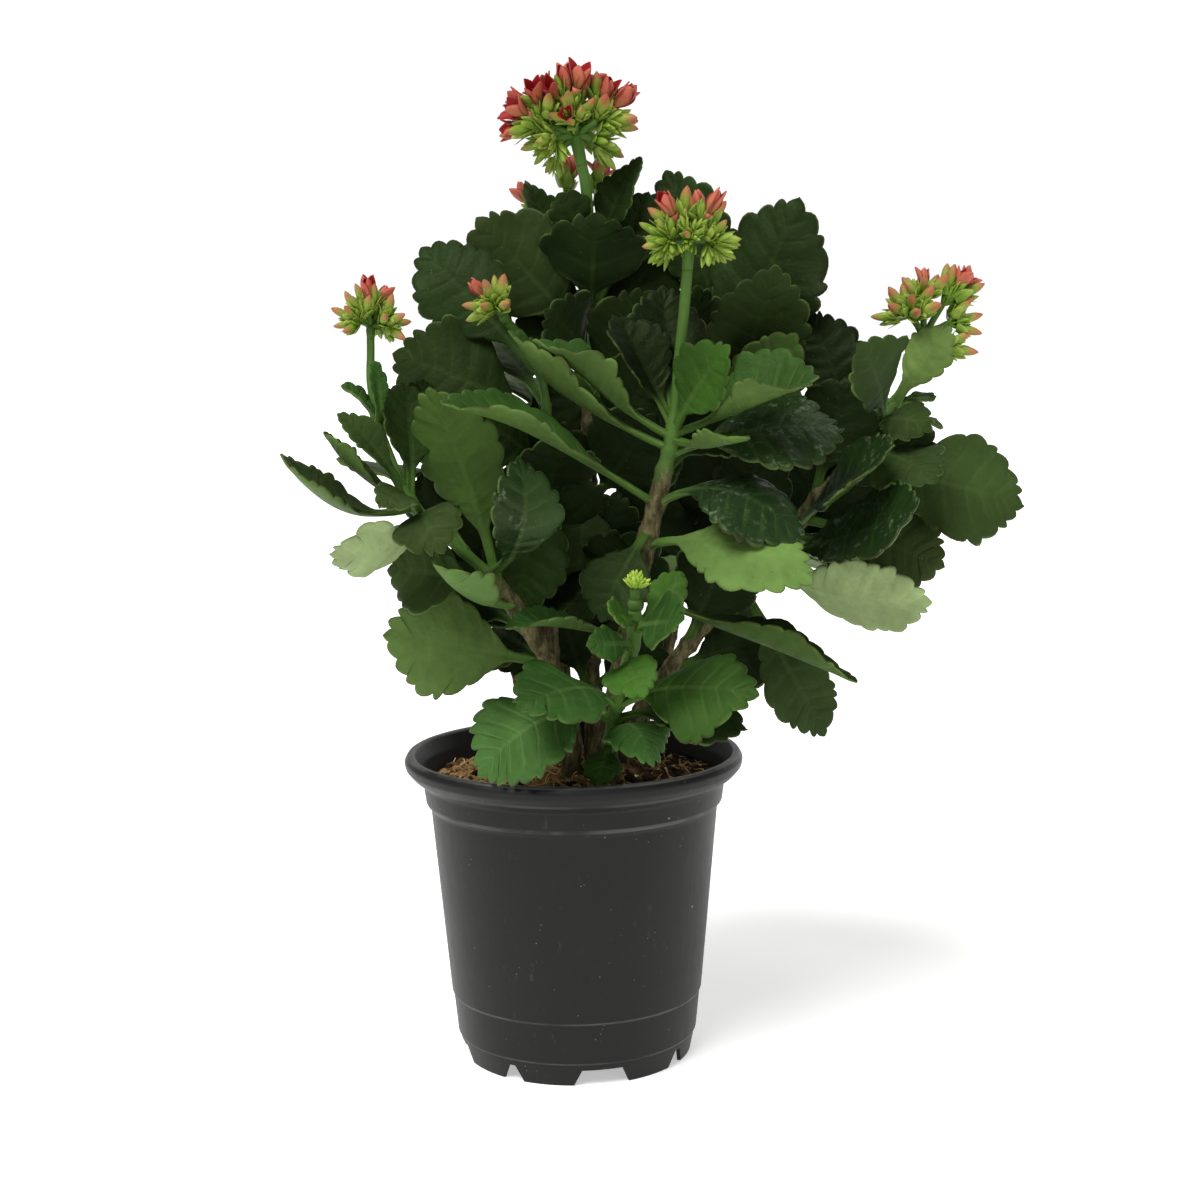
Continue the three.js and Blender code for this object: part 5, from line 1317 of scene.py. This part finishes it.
class LeafSettings(bpy.types.PropertyGroup):
    """The leaves and the stems."""

    crown_height: size_of("Crown height", "Depth of the edge's crowns against the leaf's width", 0.058, 0, 0.15)
    edge_start: size_of("Plain edge", "Share of the edge below the first crown", 0.17, 0, 0.5)
    vein_slant: size_of("Vein slant", "How far the veins run forward", 0.42, 0, 1)
    leaf_thickness: size_of("Thickness", "Thickness of the blade in millimetres", 1.5, 0.5, 3)
    flutter: size_of("Flutter", "Ripple of the edge, as a share of the width", 0.015, 0, 0.1)
    roll: size_of("Roll", "How far the edges roll up and down, as a share of the width", 0.085, 0, 0.2)
    curl: size_of("Curl", "How far the tips curl, as a share of the length", 0.05, 0, 0.2)
    quilting: size_of("Quilting", "Swelling between the veins in millimetres", 0.14, 0, 1)
    leaf_relief: size_of("Relief", "Height of the fine leaf grain in metres", 0.0005, 0, 0.002)
    leaf_gloss: size_of("Gloss", "Strength of most leaves' reflections", 0.14, 0, 1)
    old_leaf_gloss: size_of("Old leaf gloss", "Strength of an old glossy leaf's reflections", 0.32, 0, 1)
    gloss_tint: colour_of("Gloss tint", "Colour of the leaves' reflections", 222, 255, 178)
    outer_green: colour_of("Outer leaf", "Upper side of a leaf in the light", 42, 57, 25)
    leafy_green: colour_of("Mid leaf", "Upper side of a leaf near the front", 44, 72, 27)
    young_green: colour_of("Young leaf", "Upper side of a young leaf", 52, 82, 26)
    bright_green: colour_of("Bright leaf", "Upper side of the low front leaves", 56, 88, 40)
    light_green: colour_of("Light leaf", "Upper side of a yellowing leaf", 84, 108, 54)
    shaded_green: colour_of("Shaded leaf", "Upper side of a leaf in the shade", 25, 39, 13)
    # painted shade: the near-black colour of the leaves deep inside the plant stands in for the shade there
    inner_shade_green: colour_of("Inner leaf", "Upper side of a leaf deep inside", 13, 24, 6)
    glossy_green: colour_of("Glossy leaf", "Upper side of an old shiny leaf", 24, 42, 16)
    underside: colour_of("Underside", "Lower side of a leaf in the light", 76, 100, 48)
    pale_underside: colour_of("Pale underside", "Lower side of the palest leaves", 132, 150, 102)
    dim_underside: colour_of("Dim underside", "Lower side of a leaf in the shade", 60, 82, 36)
    vein_green: colour_of("Vein", "Veins and midrib", 92, 122, 62)
    stalk_green: colour_of("Stalk", "Leaf stalks and green stems", 66, 96, 38)
    rim_colour: colour_of("Leaf rim", "The thin line round a leaf, where it is brown", 54, 44, 26)
    # painted highlight: the pale parts of the rim stand in for light caught on the leaf's edge
    rim_highlight: colour_of("Light rim", "The thin line round a leaf, where it is pale", 96, 116, 62)
    bark_dark: colour_of("Dark bark", "Hollows of the bark", 52, 48, 28)
    bark_light: colour_of("Light bark", "Corky bark", 112, 104, 72)
    bark_green: colour_of("Green bark", "Green that shows through the bark", 58, 72, 32)

    def looks(self):
        """Upper side, lower side, shine and strength of the veins of each kind of leaf."""
        return {
            "outer": (self.outer_green, self.underside, 0.25, 0.35),
            "leafy": (self.leafy_green, self.underside, 0.4, 1.0),
            "young": (self.young_green, self.underside, 0.35, 0.5),
            "bright": (self.bright_green, self.underside, 0.45, 2.0),
            "light": (self.light_green, self.underside, 0.2, 0.2),
            "shaded": (self.shaded_green, self.dim_underside, 0.35, 0.25),
            "inner": (self.inner_shade_green, self.dim_underside, 0.5, 0.1),
            "glossy": (self.glossy_green, self.dim_underside, 1.0, 0.5),
            "back": (self.shaded_green, self.dim_underside, 0.2, 0.5),
            "pale": (self.outer_green, self.pale_underside, 0.3, 0.3),
        }


class BloomSettings(bpy.types.PropertyGroup):
    """The buds and the flowers."""

    bud_radius: size_of("Bud radius", "Radius of a full bud in millimetres", 2.55, 1, 4)
    ripeness: size_of("Ripeness", "How far the buds have coloured, from 0 green to 1", 1.3, 0, 2)
    side_buds: size_of("Side buds", "Small green buds for each full one", 1.2, 0, 3)
    bud_green: colour_of("Bud green", "Cup of a bud", 102, 134, 36)
    bud_pale: colour_of("Bud pale", "Tips of the cup", 168, 184, 86)
    low_bud: colour_of("Low bud", "The young low bud", 124, 164, 36)
    low_bud_tip: colour_of("Low bud tip", "Tips of the young low bud", 206, 226, 104)
    bud_peach: colour_of("Bud peach", "Closed petals", 156, 112, 70)
    bud_tip: colour_of("Bud tip", "Very tip of a bud", 118, 62, 42)
    petal_back: colour_of("Petal back", "Outer side of the petals", 164, 68, 56)
    petal_pale: colour_of("Pale petal back", "Outer side of the palest petals", 190, 108, 84)
    petal_face: colour_of("Petal face", "Inner side of the petals", 142, 22, 28)


class StageSettings(bpy.types.PropertyGroup):
    """The floor, the light and the camera."""

    lens: FloatProperty(name="Lens", description="Focal length on a 36 mm sensor", default=60, min=10, max=300)
    sweep: size_of("Sweep", "Brightness of the white sweep round the horizon", 1.05, 0, 5)
    ceiling: size_of("Ceiling", "Brightness of the ceiling", 0.36, 0, 5)
    sweep_light: size_of("Sweep light", "Share of its brightness that the sweep lights with", 0.36, 0, 1)
    key_light: size_of("Key light", "Strength of the large soft lamp in watts per square metre", 3.7, 0, 20)
    floor_glow: size_of("Floor glow", "Light of the white floor itself, which softens the shadow", 0.45, 0, 1)
    floor_colour: colour_of("Floor", "Plain pale floor", 240, 240, 238)


# ---- Stage ----
def studio_world(settings):
    """A white sweep all round the horizon with a dimmer ceiling; it lights less than it shows."""
    world = bpy.data.worlds.new("studio")
    world.use_nodes = True
    air = Nodes(world.node_tree)
    way = air.node("ShaderNodeTexCoord", output="Generated")
    height = air.node("ShaderNodeSeparateXYZ", {}, {0: way}, "Z")
    rays = air.node("ShaderNodeLightPath", output="Is Camera Ray")
    seen = air.node("ShaderNodeMapRange", {}, {"Value": rays, "To Min": settings.sweep_light})
    power = height.rise(0.22, 0.5, settings.sweep, settings.ceiling) * seen
    air.feed(world.node_tree.nodes["Background"], {"Color": (1, 1, 1, 1), "Strength": power})
    return world


def build_stage(settings):
    """The floor, the world's light, three soft lamps and the camera."""
    far = 12
    mesh = bpy.data.meshes.new("floor")
    mesh.from_pydata([(-far, -far, 0), (far, -far, 0), (far, far, 0), (-far, far, 0)], [], [(0, 1, 2, 3)])
    floor = new_object("floor", mesh)
    f = Finish("floor")
    mottle = f.noise(3, 2)
    f.done(
        Base_Color=f.blend(mottle * 0.1, settings.floor_colour, (0.8, 0.8, 0.79)), Roughness=0.8 + 0.1 * mottle,
        Emission_Color=(1, 1, 1, 1), Emission_Strength=settings.floor_glow,
    )
    mesh.materials.append(f.material)

    for name, place, spread, power in (
        ("key", (-0.45, -0.6, 1.2), 38, settings.key_light),
        ("fill", (0.9, -1.1, 0.7), 60, settings.key_light * 0.12),
        ("back", (0.4, 1.2, 0.8), 70, settings.key_light * 0.24),
    ):
        lamp = bpy.data.lights.new(name, "SUN")
        lamp.energy, lamp.angle = power, math.radians(spread)
        new_object(name, lamp).rotation_euler = (-Vector(place)).to_track_quat("-Z", "Y").to_euler()

    lens = bpy.data.cameras.new("camera")
    lens.lens, lens.sensor_width, lens.clip_start = settings.lens, SENSOR, 0.01
    camera = new_object("camera", lens)
    pitch, roll = math.radians(CAMERA_PITCH), math.radians(CAMERA_ROLL)
    look = Vector((0, math.cos(pitch), -math.sin(pitch)))
    right = Vector((math.cos(roll), 0, 0)) + Vector((0, math.sin(pitch), math.cos(pitch))) * -math.sin(roll)
    camera.matrix_world = Matrix((right, right.cross(look), -look)).transposed().to_4x4()
    camera.location = Vector(POT_CENTRE) + Vector(CAMERA_PLACE)
    scene = bpy.context.scene
    scene.world, scene.camera = studio_world(settings), camera
    scene.view_settings.view_transform = "Standard"


# ---- Operators and panel ----
class KALANCHOE_OT_pot(bpy.types.Operator):
    """Make the nursery pot with its notched feet and drain holes"""

    bl_idname = "kalanchoe.pot"
    bl_label = "Pot"

    def execute(self, context):
        build_pot(context.scene.kalanchoe_pot)
        return {"FINISHED"}


class KALANCHOE_OT_soil(bpy.types.Operator):
    """Make the root ball with its crumbs and fibres"""

    bl_idname = "kalanchoe.soil"
    bl_label = "Root ball"

    def execute(self, context):
        build_soil(context.scene.kalanchoe_soil)
        return {"FINISHED"}


class KALANCHOE_OT_shoots(bpy.types.Operator):
    """Make the leafy shoots"""

    bl_idname = "kalanchoe.shoots"
    bl_label = "Leafy shoots"

    def execute(self, context):
        for name in SHOOTS:
            build_shoot(name, context.scene.kalanchoe_leaves)
        return {"FINISHED"}


class KALANCHOE_OT_heads(bpy.types.Operator):
    """Make the flower and bud heads"""

    bl_idname = "kalanchoe.heads"
    bl_label = "Flower heads"

    def execute(self, context):
        for name in HEADS:
            build_head(name, context.scene.kalanchoe_blooms, context.scene.kalanchoe_leaves)
        return {"FINISHED"}


class KALANCHOE_OT_stage(bpy.types.Operator):
    """Make the floor, the lights and the camera"""

    bl_idname = "kalanchoe.stage"
    bl_label = "Stage"

    def execute(self, context):
        build_stage(context.scene.kalanchoe_stage)
        return {"FINISHED"}


OPERATORS = (KALANCHOE_OT_pot, KALANCHOE_OT_soil, KALANCHOE_OT_shoots, KALANCHOE_OT_heads, KALANCHOE_OT_stage)
SETTINGS = {
    "kalanchoe_pot": PotSettings,
    "kalanchoe_soil": SoilSettings,
    "kalanchoe_leaves": LeafSettings,
    "kalanchoe_blooms": BloomSettings,
    "kalanchoe_stage": StageSettings,
}


class KALANCHOE_PT_panel(bpy.types.Panel):
    """The plant's settings and the buttons that make its pieces"""

    bl_idname = "KALANCHOE_PT_panel"
    bl_label = "Potted kalanchoe"
    bl_space_type = "VIEW_3D"
    bl_region_type = "UI"
    bl_category = "Kalanchoe"

    def draw(self, context):
        for (name, kind), operator in zip(SETTINGS.items(), OPERATORS):
            box = self.layout.box()
            settings = getattr(context.scene, name)
            for key in kind.__annotations__:
                box.prop(settings, key)
            box.operator(operator.bl_idname)


def register():
    for kind in (*SETTINGS.values(), *OPERATORS, KALANCHOE_PT_panel):
        bpy.utils.register_class(kind)
    for name, kind in SETTINGS.items():
        setattr(bpy.types.Scene, name, PointerProperty(type=kind))


def unregister():
    for name in SETTINGS:
        delattr(bpy.types.Scene, name)
    for kind in (KALANCHOE_PT_panel, *reversed(OPERATORS), *SETTINGS.values()):
        bpy.utils.unregister_class(kind)


def main():
    """Makes every piece in turn."""
    register()
    for operator in ("stage", "pot", "soil", "shoots", "heads"):
        getattr(bpy.ops.kalanchoe, operator)()


if __name__ == "__main__":
    main()
